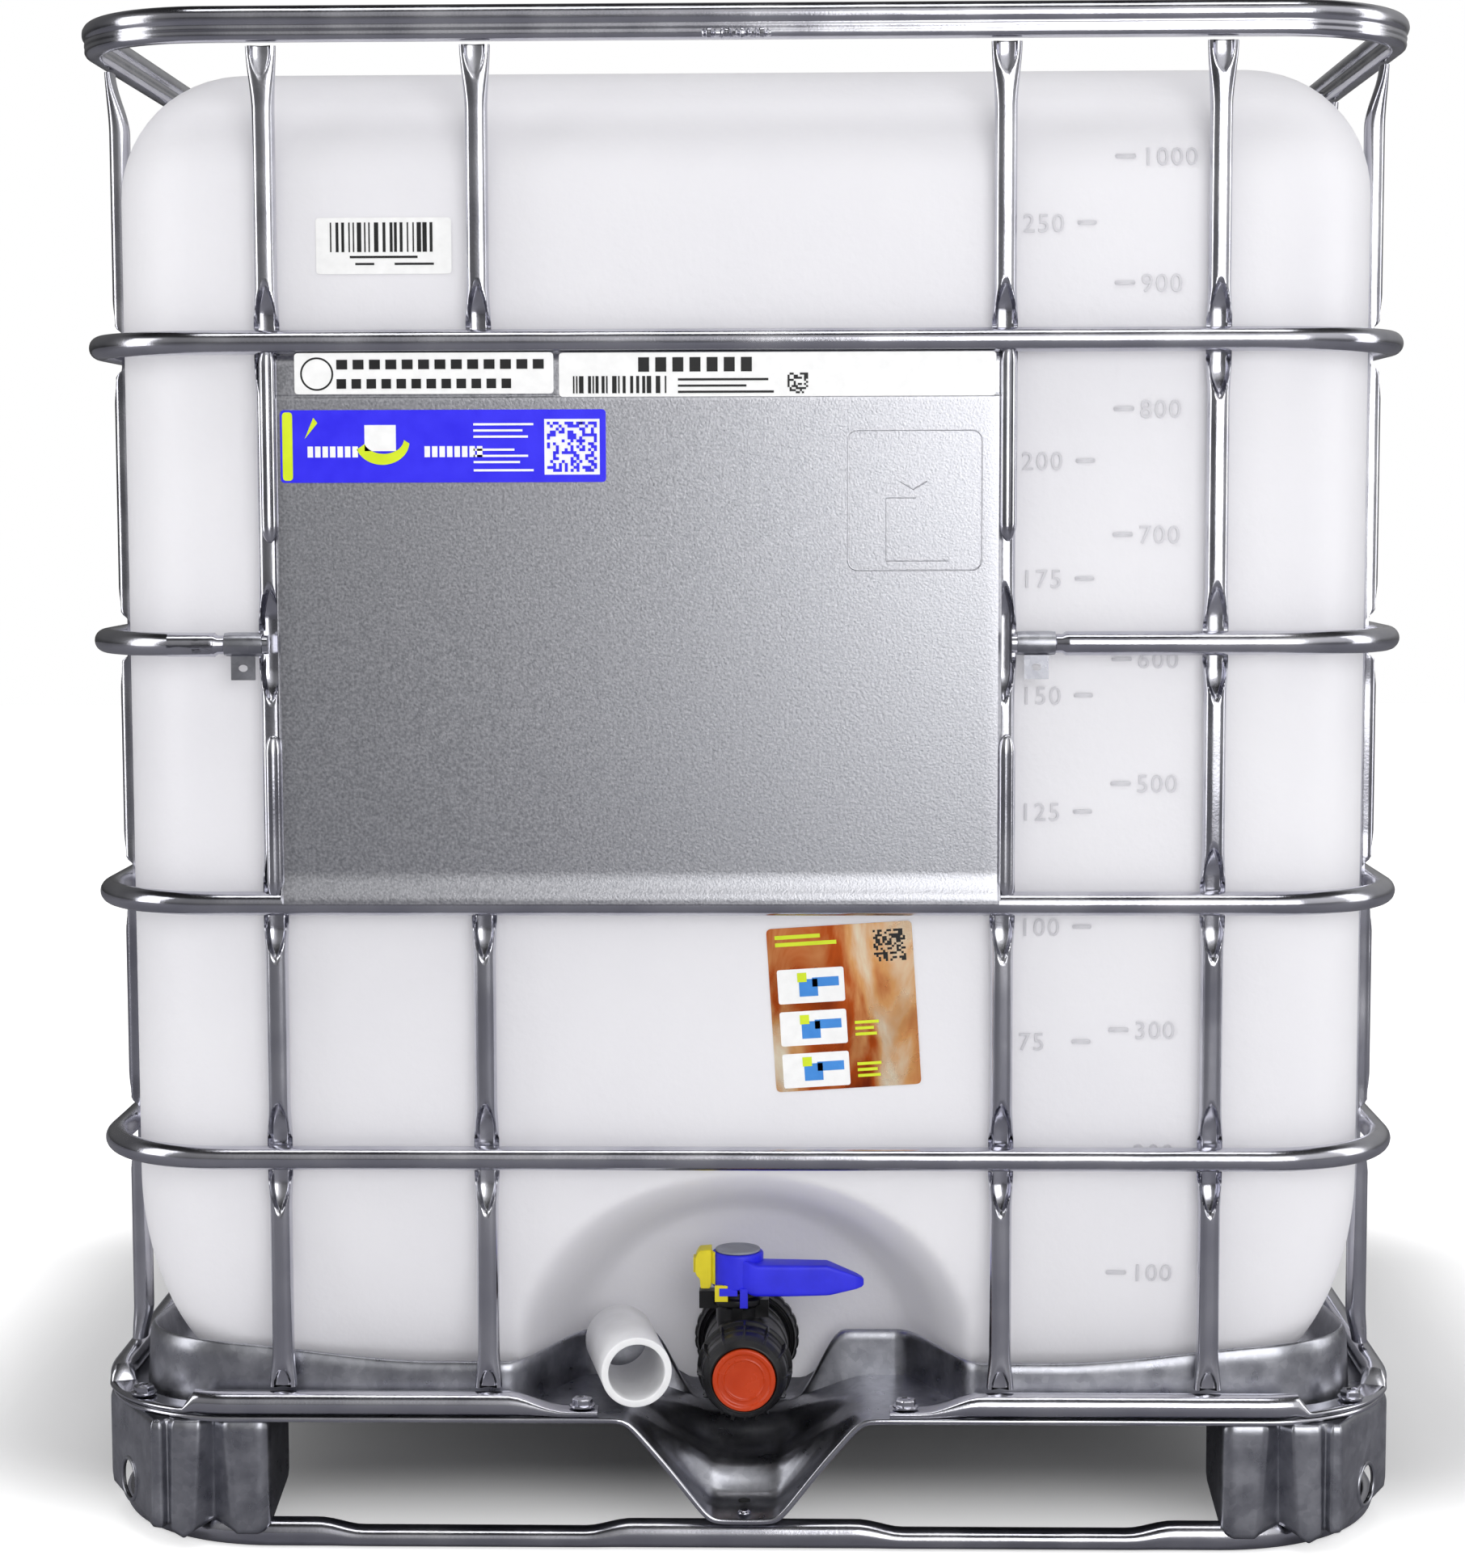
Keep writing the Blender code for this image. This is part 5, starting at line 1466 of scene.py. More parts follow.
    def build_middle_foot(self, node: str) -> None:
        """Plain middle foot with one shallow flute in its outer face."""
        low, high = span(node)
        centre = (low + high) / 2.0
        on_rear = abs(centre[1]) > abs(centre[0])
        half = 0.075
        face = np.array((
            (-half, 0.0), (-0.024, 0.0), (-0.014, 0.01), (0.014, 0.01), (0.024, 0.0), (half, 0.0),
            (half, 0.0945), (-half, 0.0945),
        ))
        narrow = face * (0.97, 1.0)
        hem = np.array((0.0145, 0.0145, 0.02, 0.02, 0.0145, 0.0145, 0.03, 0.03))
        wall = self.foot_sheet(face, narrow, hem, 0.005, 180)
        reach = 0.5983 if on_rear else 0.4983
        along, depth, tall = wall[..., 0], reach - wall[..., 1], wall[..., 2]
        if on_rear:
            wall = np.stack((along, depth, tall), axis=-1)
        else:
            wall = np.stack((math.copysign(1.0, centre[0]) * depth, along, tall), axis=-1)
        Skin().grid(wall, False, True).piece(
            node + "_sheet", PRESSED, stands_for=[node], inside=tuple(centre), sharp=45.0, wall=0.0018
        )

    def build_bolts(self) -> None:
        """Hexagon bolts with washers on the rail's pads, and the rivet and drain hole of the trough."""
        for number in range(1, 7):
            node = f"rail_bolt_{number}"
            low, high = span(node)
            spot = middle(node)
            skin = Skin()
            washer = soften(
                ((0.0, -0.0006), (0.0098, -0.0006), (0.0098, 0.001), (0.0, 0.001)), 0.0004, 3, closed=False
            )
            skin.grid(turned(washer, (spot[0], spot[1], low[2]), Axis.UP, 36), True, False)
            turn = np.linspace(0.0, 2.0 * math.pi, 36, endpoint=False)
            hexagon = 0.007 / np.cos((turn + number) % (math.pi / 3.0) - math.pi / 6.0)
            rows = (
                (0.0, 0.0008), (1.0, 0.0008), (1.0, 0.0046), (0.92, 0.0056), (0.55, 0.0058), (0.45, 0.005),
                (0.0, 0.005)
            )
            head = np.stack([
                np.column_stack(
                    (
                        spot[0] + k * hexagon * np.cos(turn), spot[1] + k * hexagon * np.sin(turn),
                        np.full(36, low[2] + z)
                    )
                )
                for k, z in rows
            ])
            skin.grid(head, False, True)
            skin.piece(node + "_head", TUBE, stands_for=[node], sharp=25.0)
        skin = Skin()
        dome = soften(
            ((0.0, 0.0022), (0.0034, 0.002), (0.0052, 0.0002), (0.0052, -0.001), (0.0, -0.001)), 0.0008, 4,
            closed=False
        )
        skin.grid(turned(dome, (0.0, -0.59, 0.0292), Axis.UP, 30), True, False)
        skin.piece("trough_rivet", TUBE)
        pit = np.array(
            ((0.0, 0.0003), (0.004, 0.0003), (0.0046, 0.0002), (0.0046, -0.0008), (0.0, -0.0008))
        )
        Skin().grid(turned(pit, (0.0, -0.578, 0.0345), Axis.UP, 24), True, False).piece(
            "trough_drain", RUBBER
        )

    def build(self) -> None:
        """Build the whole pallet."""
        self.build_deck()
        self.build_base_ring()
        for name, side_x, side_y in (
            ("front_left", -1.0, -1.0), ("front_right", 1.0, -1.0), ("rear_left", -1.0, 1.0),
            ("rear_right", 1.0, 1.0),
        ):
            self.build_corner_foot(f"foot_{name}", side_x, side_y)
        for name in ("left", "right", "rear"):
            self.build_middle_foot(f"foot_middle_{name}")
        self.build_bolts()


# ------------------------------------------------------------------ bottle


BOTTLE_NODES = ["bottle", "bottle_mouth", "bottle_neck", "bottle_outlet"]


@dataclass
class Bottle:
    """Blow-moulded bottle with the valve niche, filling neck, raised scales and its two stickers."""

    half_x: float = 0.4757
    half_y: float = 0.5757
    corner: float = 0.1
    wall: float = 0.003
    bottom: float = 0.1163
    top: float = 1.115
    top_round: float = 0.095
    base_round_x: float = 0.1
    base_round_y: float = 0.05
    base_round_z: float = 0.155
    sump: float = 0.024
    niche: float = 0.128
    niche_inner: float = 0.125
    niche_outer: float = 0.195
    niche_squeeze: float = 1.13
    niche_z: float = 0.118
    neck_r: float = 0.078
    neck_top: float = 1.134
    outlet_z: float = 0.128

    def shoulder(self, z: Array) -> Array:
        """Inset of the upper edge at a height: a quarter circle."""
        rise = np.clip((z - self.top + self.top_round) / self.top_round, 0.0, 1.0)
        return self.top_round * (1.0 - np.sqrt(1.0 - rise**2))

    def heel(self, z: Array, reach: float) -> Array:
        """Inset of the lower edge at a height: a quarter ellipse of the given reach."""
        rise = np.clip((self.bottom + self.base_round_z - z) / self.base_round_z, 0.0, 0.995)
        return reach * (1.0 - np.sqrt(1.0 - rise**2))

    def niche_depth(self, x: Array, z: Array) -> Array:
        """Set-back of the front round the valve: a smooth step of the distance from its middle."""
        reach = np.hypot(x, self.niche_squeeze * np.maximum(z - self.niche_z, 0.0))
        return self.niche * ease((self.niche_outer - reach) / (self.niche_outer - self.niche_inner))

    def front_y(self, x: Array, z: Array) -> Array:
        """The y of the front face at a place, between its rounded corners."""
        return (
            -self.half_y
            + np.maximum(self.shoulder(z) + self.heel(z, self.base_round_y), self.niche_depth(x, z))
        )

    def loops(self, z: Array) -> Array:
        """Level loops of the outer skin, one for each height."""
        inset_x = self.heel(z, self.base_round_x) + self.shoulder(z)
        inset_y = self.heel(z, self.base_round_y) + self.shoulder(z)
        radius = np.maximum(self.corner - np.maximum(inset_x, inset_y), 0.012)
        places, outs = rounded_rectangle(
            self.half_x - inset_x, self.half_y - inset_y, radius, counts=(96, 30, 28, 30), turns=14,
            crowd=0.5
        )
        x, y = places[..., 0], places[..., 1]
        depth = self.niche_depth(x, z[:, None])
        y = np.where(outs[None, :, 1] < -0.99, np.maximum(y, -self.half_y + depth), y)
        return np.stack((x, y, np.broadcast_to(z[:, None], x.shape)), axis=-1)

    def floor(self, inset: float, depth: float) -> Array:
        """One floor loop: the lowest loop drawn inwards, and sunk in the middle of the front."""
        edge = self.loops(np.array((self.bottom,)))[0]
        x, y, z = edge.T
        on_front = (y < 0.0) & (np.abs(x) <= self.niche_outer)
        sunk = depth * np.clip((0.085 - np.abs(x)) / 0.04, 0.0, 1.0)
        return np.column_stack((
            np.where(on_front, x, x * (x.max() - inset) / x.max()),
            np.where(on_front, y + inset, y * (y.max() - inset) / y.max()),
            np.where(on_front, z - sunk, z),
        ))

    def build_skin(self) -> None:
        """The bottle's wall: floor, sides, rounded shoulder, flat top drawn in to the round neck."""
        shoulder = self.top - self.top_round * (1.0 - np.sin(np.linspace(0.0, math.pi / 2.0, 15)))
        heights = np.concatenate((
            np.arange(0.118, 0.33, 0.0042), np.arange(0.335, shoulder[0] - 0.01, 0.022), shoulder,
        ))
        sides = self.loops(heights)
        turn = np.arctan2(sides[-1, :, 1] / self.half_y, sides[-1, :, 0] / self.half_x)
        ring = np.column_stack((np.cos(turn), np.sin(turn), np.zeros(len(turn))))
        share = np.linspace(0.0, 1.0, 12)[1:, None, None] ** 0.8
        collar = ring * (self.neck_r + 0.006) + (0.0, 0.0, self.top + 0.0006)
        lid_land = (1.0 - share) * sides[-1] + share * collar
        lid_land[..., 2] += 0.001 * np.sin(share[..., 0] * math.pi)
        thread = soften(
            (
                (0.0795, 1.117), (0.078, 1.1185), (0.078, 1.1205), (0.0793, 1.1215), (0.078, 1.123),
                (0.078, 1.134)
            ),
            0.0006, 3, closed=False,
        )
        neck = (
            thread[:, None, :1] * ring
            + np.stack((0 * thread[:, 1], 0 * thread[:, 1], thread[:, 1]), axis=-1)[:, None]
        )
        floors = np.stack(
            (self.floor(0.17, 0.0), self.floor(0.06, self.sump * 0.8), self.floor(0.0, self.sump))
        )
        pole = np.broadcast_to(np.array((0.0, 0.05, self.bottom)), floors[:1].shape)
        skin = Skin().grid(np.concatenate((pole, floors, sides, lid_land, neck)), False, True)
        outlet = np.array((0.0, -self.half_y + self.niche, self.outlet_z))
        skin.drop(lambda centres: np.linalg.norm(centres - outlet, axis=1) < 0.034)
        skin.piece(
            "bottle_skin", BOTTLE, stands_for=BOTTLE_NODES, inside=(0.0, 0.0, 0.6), sharp=60.0,
            wall=self.wall
        )

    def build_scales(self) -> None:
        """Two raised scales moulded into the front: ticks and plain numbers in litres and gallons."""
        skin = Skin()
        raised = 0.0011
        litres = {1000 - 100 * k: 1.042 - 0.0915 * k - 0.0004 * k * k / 4.0 for k in range(10)}
        gallons = {250 - 25 * k: 0.994 - 0.0866 * k for k in range(9)}
        outlines = (
            [(0.2735, 0.2885, z) for z in litres.values()] + [(0.246, 0.26, z) for z in gallons.values()]
        )
        for left, right, z in outlines:
            bar = soften(
                ((left, z - 0.0016), (right, z - 0.0016), (right, z + 0.0016), (left, z + 0.0016)), 0.0016,
                5
            )
            sheet = slab(bar, -0.001, raised, 0.0003)
            skin.grid(np.stack((sheet[..., 0], -sheet[..., 2], sheet[..., 1]), axis=-1), False, True)
        skin.bend(self.on_front)
        skin.piece("scale_ticks", MARKS_WITH_PAINTED_SHADE, sharp=50.0)
        texts = (
            [(str(v), 0.2925, z) for v, z in litres.items()]
            + [(str(v), 0.206, z) for v, z in gallons.items()]
        )
        self.build_numbers(texts, raised)

    def on_front(self, points: Array) -> Array:
        """Lay points whose y is their height above the surface on to the bottle's front."""
        y = self.front_y(points[:, 0], points[:, 2])
        return np.column_stack((points[:, 0], y + points[:, 1], points[:, 2]))

    def build_numbers(self, texts: Sequence[tuple[str, float, float]], raised: float) -> None:
        """Raised numbers, made meshes first and then laid on the front.

        Args:
            texts: each number with its left end and its middle height.
            raised: how far it stands out.
        """
        points, faces, start = [], [], 0
        graph = bpy.context.evaluated_depsgraph_get()
        for text, left, z in texts:
            curve = bpy.data.curves.new("number", "FONT")
            curve.body = text
            curve.size = 0.019
            curve.space_character = 1.12
            curve.extrude = raised
            curve.resolution_u = 3
            holder = bpy.data.objects.new("number", curve)
            bpy.context.scene.collection.objects.link(holder)
            graph.update()
            mesh = bpy.data.meshes.new_from_object(holder.evaluated_get(graph))
            flat = np.zeros(3 * len(mesh.vertices))
            mesh.vertices.foreach_get("co", flat)
            flat = flat.reshape(-1, 3)
            points.append(np.column_stack((flat[:, 0] + left, -flat[:, 2], flat[:, 1] + z - 0.0068)))
            faces += [[start + v for v in polygon.vertices] for polygon in mesh.polygons]
            start += len(flat)
            bpy.data.objects.remove(holder)
            bpy.data.meshes.remove(mesh)
        made = bpy.data.meshes.new("scale_numbers")
        made.from_pydata(self.on_front(np.vstack(points)).tolist(), [], faces)
        work = bmesh.new()
        work.from_mesh(made)
        bmesh.ops.remove_doubles(work, verts=work.verts, dist=1e-6)
        bmesh.ops.recalc_face_normals(work, faces=work.faces)
        work.to_mesh(made)
        work.free()
        piece = bpy.data.objects.new("scale_numbers", made)
        bpy.context.scene.collection.objects.link(piece)
        made.materials.append(MARKS_WITH_PAINTED_SHADE.material())
        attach(piece, "frame")
        LOG.info("scale_numbers: %d faces on frame", len(made.polygons))

    def build_stickers(self) -> None:
        """White bar sticker at the upper left and a foil handling sticker above the valve."""
        face = -self.half_y - 0.0002
        sticker(-0.313, 0.959, -0.213, 1.0, face, 0.0003).piece("bottle_sticker", PAPER)
        rows = stripes(-0.3035, -0.2245, 0.975, 0.9965, 11, 0.00105)
        rows += [
            (-0.288, 0.9705, -0.238, 0.9722), (-0.284, 0.9655, -0.27, 0.9671),
            (-0.255, 0.9655, -0.226, 0.9671)
        ]
        bars(rows, face - 0.0003, 0.0002).piece("bottle_sticker_print", INK)
        self.build_foil(face)

    def build_foil(self, face: float) -> None:
        """The foil sticker, turned a little: panels with a lever, a lock and an arrow as plain shapes."""
        turn = math.radians(3.6)
        pivot = np.array((0.0755, 0.414))

        def tilted(points: Array) -> Array:
            """Turn points about the sticker's middle in the plane of the front."""
            x, z = points[:, 0] - pivot[0], points[:, 2] - pivot[1]
            return np.column_stack((
                pivot[0] + x * math.cos(turn) - z * math.sin(turn), points[:, 1],
                pivot[1] + x * math.sin(turn) + z * math.cos(turn),
            ))

        left, bottom, right, top = 0.021, 0.352, 0.13, 0.476
        sticker(left, bottom, right, top, face, 0.0003, 0.004).bend(tilted).piece("handling_sticker", FOIL)
        panels = [(left + 0.006, z, left + 0.056, z + 0.026) for z in (0.3545, 0.3865, 0.4185)]
        for number, cell in enumerate(panels):
            sticker(*cell, face - 0.0003, 0.0001, 0.002).bend(tilted).piece(
                f"handling_panel_{number + 1}", PAPER
            )
        front = face - 0.0004
        code = checks(right - 0.0295, top - 0.0295, 0.024, 14, 21)
        bars(code, front + 0.0001, 0.0001).bend(tilted).piece("handling_print_block", INK)
        blue, yellow = [], []
        for x0, z0, _, _ in panels:
            blue += [
                (x0 + 0.016, z0 + 0.005, x0 + 0.03, z0 + 0.018),
                (x0 + 0.026, z0 + 0.012, x0 + 0.046, z0 + 0.019)
            ]
            yellow += [(x0 + 0.015, z0 + 0.016, x0 + 0.022, z0 + 0.023)]
        bars(blue, front, 0.0001).bend(tilted).piece("handling_print_blue", PANEL_BLUE)
        words = [
            (left + 0.006, top - 0.0085, left + 0.04, top - 0.0055),
            (left + 0.006, top - 0.014, left + 0.052, top - 0.011)
        ]
        words += [(left + 0.062, z, left + 0.062 + w, z + 0.0022) for z, w in (
            (0.4005, 0.018), (0.396, 0.014), (0.3915, 0.016), (0.369, 0.018), (0.3645, 0.015),
            (0.36, 0.017))]
        bars(yellow + words, front - 0.0001, 0.0001).bend(tilted).piece("handling_print_yellow", LIME_FILM)

    def build(self) -> None:
        """Build the bottle and what is moulded or stuck on it."""
        self.build_skin()
        self.build_scales()
        self.build_stickers()


@dataclass
class FillingLid:
    """Screw lid with grip ribs, its gasket and the vent plug in its middle."""

    ribs: int = 36
    rib_rise: float = 0.0016

    def gripped(self, turn: Array, radius: Array, along: Array) -> Array:
        """Ribs on the skirt: the radius grows by a sharpened cosine of the turn."""
        rib = np.clip(np.cos(turn * self.ribs) * 2.2, -1.0, 1.0) * 0.5 + 0.5
        skirt = (radius > 0.086) & (along < 0.0225)
        return radius + np.where(skirt, self.rib_rise * (rib - 1.0), 0.0)

    def build(self) -> None:
        """Build the lid, its gasket and the vent plug."""
        low, high = span("lid_skirt")[0], span("lid")[1]
        base = float(low[2])
        tall = float(high[2] - low[2])
        top = soften((
            (0.0812, 0.0), (0.0885, 0.0), (0.0885, tall - 0.005), (0.0835, tall), (0.07, tall),
            (0.068, tall - 0.0022),
            (0.048, tall - 0.0022), (0.0455, tall), (0.0262, tall), (0.0262, tall - 0.005),
            (0.0812, tall - 0.005),
        ), 0.0014, 5)
        Skin().grid(turned(top, (0.0, 0.0, base), Axis.UP, 288, self.gripped), True, True).piece(
            "lid_cap", BLACK, "lid", ["lid", "lid_skirt"], sharp=50.0
        )
        seal_low, seal_high = span("lid_gasket")
        thick = float(seal_high[2] - seal_low[2])
        seal = soften(((0.072, 0.0), (0.0775, 0.0), (0.0775, thick), (0.072, thick)), 0.001, 4)
        Skin().grid(turned(seal, (0.0, 0.0, float(seal_low[2])), Axis.UP, 72), True, True).piece(
            "lid_seal_ring", RUBBER, "lid_seal", ["lid_gasket"]
        )
        plug_low, plug_high = span("vent_plug")
        rise = float(plug_high[2] - plug_low[2])
        plug = soften((
            (0.0, 0.0), (0.0248, 0.0), (0.0248, 0.0123), (0.033, 0.0125), (0.033, rise - 0.0012),
            (0.031, rise),
            (0.02, rise), (0.019, rise - 0.0018), (0.0, rise - 0.0018),
        ), 0.0008, 4, closed=False)
        skin = Skin().grid(turned(plug, (0.0, 0.0, float(plug_low[2])), Axis.UP, 72), True, False)
        bar = slab(
            soften(((-0.017, -0.003), (0.017, -0.003), (0.017, 0.003), (-0.017, 0.003)), 0.0015, 4),
            rise - 0.003, rise, 0.0005
        )
        skin.grid(bar + (0.0, 0.0, float(plug_low[2])), False, True)
        skin.piece("vent_plug_cap", RED, "vent_plug", ["vent_plug"], sharp=50.0)


# ------------------------------------------------------------------ outlet valve


@dataclass
class OutletValve:
    """The outlet: union ring, valve body, butterfly disc, lever with badge and lock, nut and cap."""

    centre: tuple[float, float, float] = (0.0, 0.0, 0.128)
    stem_x: float = -0.006
    stem_y: float = -0.507
    hub_low: float = 0.1835
    hub_high: float = 0.2105
    nut_ribs: int = 12
    nut_back: float = 0.542
    nut_front: float = 0.579

    def build_union_ring(self) -> None:
        """Union ring: a stepped disc whose face carries three rolled rings, ribbed on its rim."""
        profile = soften((
            (0.0288, 0.448), (0.04, 0.448), (0.0415, 0.452), (0.0415, 0.4585), (0.0398, 0.4595),
            (0.0385, 0.4655),
            (0.0365, 0.4635), (0.035, 0.4665), (0.0335, 0.464), (0.0318, 0.4676), (0.0288, 0.4676),
        ), 0.0009, 4)

        def ribbed(turn: Array, radius: Array, along: Array) -> Array:
            """Grip ribs: the rim's radius falls by a squared cosine of the turn."""
            groove = np.clip(np.cos(turn * 26.0), 0.0, 1.0) ** 2
            return radius - 0.001 * groove * (radius > 0.0395)

        Skin().grid(turned(profile, self.centre, Axis.FORWARD, 156, ribbed), True, True).piece(
            "valve_union", BLACK, stands_for=["valve_union_ring"], sharp=50.0
        )

    def build_body(self) -> None:
        """Valve body: a bored barrel with a collar and thread, and the stem's bonnet on top."""
        barrel = soften((
            (0.024, 0.4417), (0.0282, 0.4417), (0.0282, 0.476), (0.033, 0.479), (0.033, 0.496),
            (0.0318, 0.4975),
            (0.0318, 0.517), (0.033, 0.5185), (0.033, 0.534), (0.029, 0.5395), (0.029, 0.544),
            (0.0281, 0.5455),
            (0.029, 0.547), (0.0281, 0.5485), (0.029, 0.55), (0.0281, 0.5515), (0.029, 0.553),
            (0.0281, 0.5545),
            (0.029, 0.556), (0.029, 0.57), (0.024, 0.57),
        ), 0.0007, 3)
        skin = Skin().grid(turned(barrel, self.centre, Axis.FORWARD, 72), True, True)
        bonnet = soften((
            (0.0081, 0.15), (0.016, 0.15), (0.017, 0.158), (0.017, 0.168), (0.02, 0.17), (0.02, 0.1745),
            (0.017, 0.176), (0.017, 0.18), (0.0081, 0.18),
        ), 0.0008, 4)
        skin.grid(turned(bonnet, (self.stem_x, self.stem_y, 0.0), Axis.UP, 48), True, True)
        low = np.array((
            (self.stem_x - 0.03, self.stem_y - 0.006, 0.166),
            (self.stem_x + 0.01, self.stem_y - 0.01, 0.16),
            (self.stem_x - 0.004, self.stem_y - 0.019, 0.15),
        ))
        high = np.array((
            (self.stem_x - 0.015, self.stem_y + 0.006, 0.1795),
            (self.stem_x + 0.024, self.stem_y + 0.01, 0.174),
            (self.stem_x + 0.004, self.stem_y - 0.015, 0.174),
        ))
        skin.boxes(low, high)
        skin.piece("valve_body_moulding", BLACK, stands_for=["valve_body"], sharp=50.0)

    def build_disc(self) -> None:
        """Butterfly disc on its stem, inside the bore."""
        disc = soften(
            (
                (0.0, -0.0025), (0.015, -0.0022), (0.017, -0.0008), (0.017, 0.0008), (0.015, 0.0022),
                (0.0, 0.0025)
            ),
            0.0008, 4, closed=False
        )
        skin = Skin().grid(
            turned(disc, (self.stem_x, self.stem_y, self.centre[2]), Axis.FORWARD, 48), True, False
        )
        skin.grid(
            rod((self.stem_x, self.stem_y, 0.14), (self.stem_x, self.stem_y, 0.1832), 0.0075), False, True
        )
        skin.piece("valve_disc_moulding", WHITE, "valve_handle", ["valve_disc"])

    def build_nut(self) -> None:
        """Outlet nut: twelve narrow ribs run down its cone to a thin band at its back."""
        back, front = self.nut_back, self.nut_front
        profile = soften((
            (0.0294, back), (0.0362, back), (0.0368, back + 0.0015), (0.0362, back + 0.003),
            (0.0335, back + 0.0045),
            (0.0335, back + 0.015), (0.0318, back + 0.0165), (0.033, back + 0.02), (0.0322, back + 0.027),
            (0.03, front - 0.005), (0.0272, front - 0.0012), (0.0262, front), (0.0246, front),
            (0.0246, front - 0.0035),
            (0.0294, front - 0.0035),
        ), 0.0009, 4)

        def ribbed(turn: Array, radius: Array, along: Array) -> Array:
            """Narrow ribs: the radius rises to a cone's where a high power of the cosine peaks."""
            peak = np.clip(np.cos(turn * self.nut_ribs / 2.0), -1.0, 1.0) ** 2
            narrow = ease((peak - 0.955) / 0.03)
            cone = 0.0366 - 0.0075 * ease((along - back - 0.018) / 0.019)
            grown = np.maximum(radius, np.minimum(cone, radius + 0.0032))
            on_cone = (radius > 0.0296) & (along < front - 0.002)
            return radius + narrow * (grown - radius) * on_cone

        skin = Skin().grid(turned(profile, self.centre, Axis.FORWARD, 360, ribbed), True, True)
        for turn in (math.radians(-105.0), math.radians(-75.0)):
            spot = np.array((0.0358 * math.cos(turn), 0.0, 0.0358 * math.sin(turn))) + self.centre
            half = np.array((0.0012, 0.0, 0.003))
            skin.boxes(
                (spot - half + (0.0, -back - 0.015, 0.0))[None],
                (spot + half + (0.0, -back - 0.002, 0.0))[None]
            )
        skin.piece("outlet_nut_moulding", BLACK, "outlet_nut", ["outlet_nut"], sharp=45.0)

    def build_cap(self) -> None:
        """Orange seal cap with a rolled rim and a ring groove, and the gasket behind it."""
        front = self.nut_front
        profile = soften((
            (0.0, 0.5723), (0.024, 0.5723), (0.024, front + 0.0012), (0.0232, front + 0.0024),
            (0.0205, front + 0.0022),
            (0.0196, front + 0.0006), (0.0165, front + 0.0002), (0.0155, front + 0.001),
            (0.0148, front - 0.0004),
            (0.01, front - 0.0008), (0.0, front - 0.0008),
        ), 0.001, 5, closed=False)
        Skin().grid(turned(profile, self.centre, Axis.FORWARD, 96), True, False).piece(
            "outlet_cap_moulding", ORANGE, "outlet_seal", ["outlet_cap"], sharp=50.0
        )
        seal = soften(((0.0225, 0.5703), (0.0285, 0.5703), (0.0285, 0.572), (0.0225, 0.572)), 0.0005, 4)
        Skin().grid(turned(seal, self.centre, Axis.FORWARD, 60), True, True).piece(
            "outlet_seal_ring", RUBBER, "outlet_seal", []
        )

    def build_handle(self) -> None:
        """Lever: a round hub whose arm sweeps to a flat-faced, tapering blade with a drooped tip."""
        low, high = self.hub_low, self.hub_high
        hub = soften(
            ((0.0, low), (0.02, low), (0.02, high - 0.0012), (0.0188, high), (0.0, high)), 0.001, 5,
            closed=False
        )
        skin = Skin().grid(turned(hub, (self.stem_x, self.stem_y, 0.0), Axis.UP, 72), True, False)
        stations = np.array((
            (0.0, 0.006, 0.1836, 0.2085), (0.003, 0.009, 0.1832, 0.208), (0.01, 0.0125, 0.18, 0.206),
            (0.014, 0.013, 0.179, 0.2042), (0.04, 0.0125, 0.179, 0.2038), (0.069, 0.0112, 0.1796, 0.2036),
            (0.072, 0.0105, 0.1798, 0.2026), (0.092, 0.006, 0.1838, 0.1945),
            (0.0965, 0.0035, 0.1852, 0.1922),
            (0.0978, 0.0015, 0.1866, 0.1906),
        ))
        run = resample(stations, 60, closed=False)
        blade = superellipse(1.0, 1.0, 40, 9.0)
        half_z, mid_z = (run[:, 3] - run[:, 2]) / 2.0, (run[:, 3] + run[:, 2]) / 2.0
        y = self.stem_y - 0.01 + blade[None, :, 0] * run[:, 1][:, None]
        z = mid_z[:, None] + blade[None, :, 1] * half_z[:, None]
        x = np.broadcast_to(self.stem_x + run[:, :1], y.shape)
        skin.grid(closed_ends(np.stack((x, y, z), axis=-1)), False, True)
        skin.boxes(
            np.array(((-0.004, self.stem_y - 0.0215, 0.17), (-0.02, self.stem_y - 0.0195, 0.179))),
            np.array(((0.002, self.stem_y - 0.0165, 0.185), (-0.006, self.stem_y - 0.012, 0.185))),
        )
        skin.piece("valve_lever", BLUE, "valve_handle", ["valve_handle"], sharp=40.0)
        low_z = float(span("valve_handle")[1][2]) + 0.0003
        badge = soften(
            (
                (0.0, 0.0), (0.0175, 0.0), (0.0175, 0.0014), (0.0168, 0.0019), (0.013, 0.0019),
                (0.0124, 0.0015), (0.0, 0.0015)
            ),
            0.0004, 4, closed=False
        )
        Skin().grid(turned(badge, (self.stem_x, self.stem_y, low_z), Axis.UP, 60), True, False).piece(
            "lever_badge", GREY, "valve_handle", []
        )

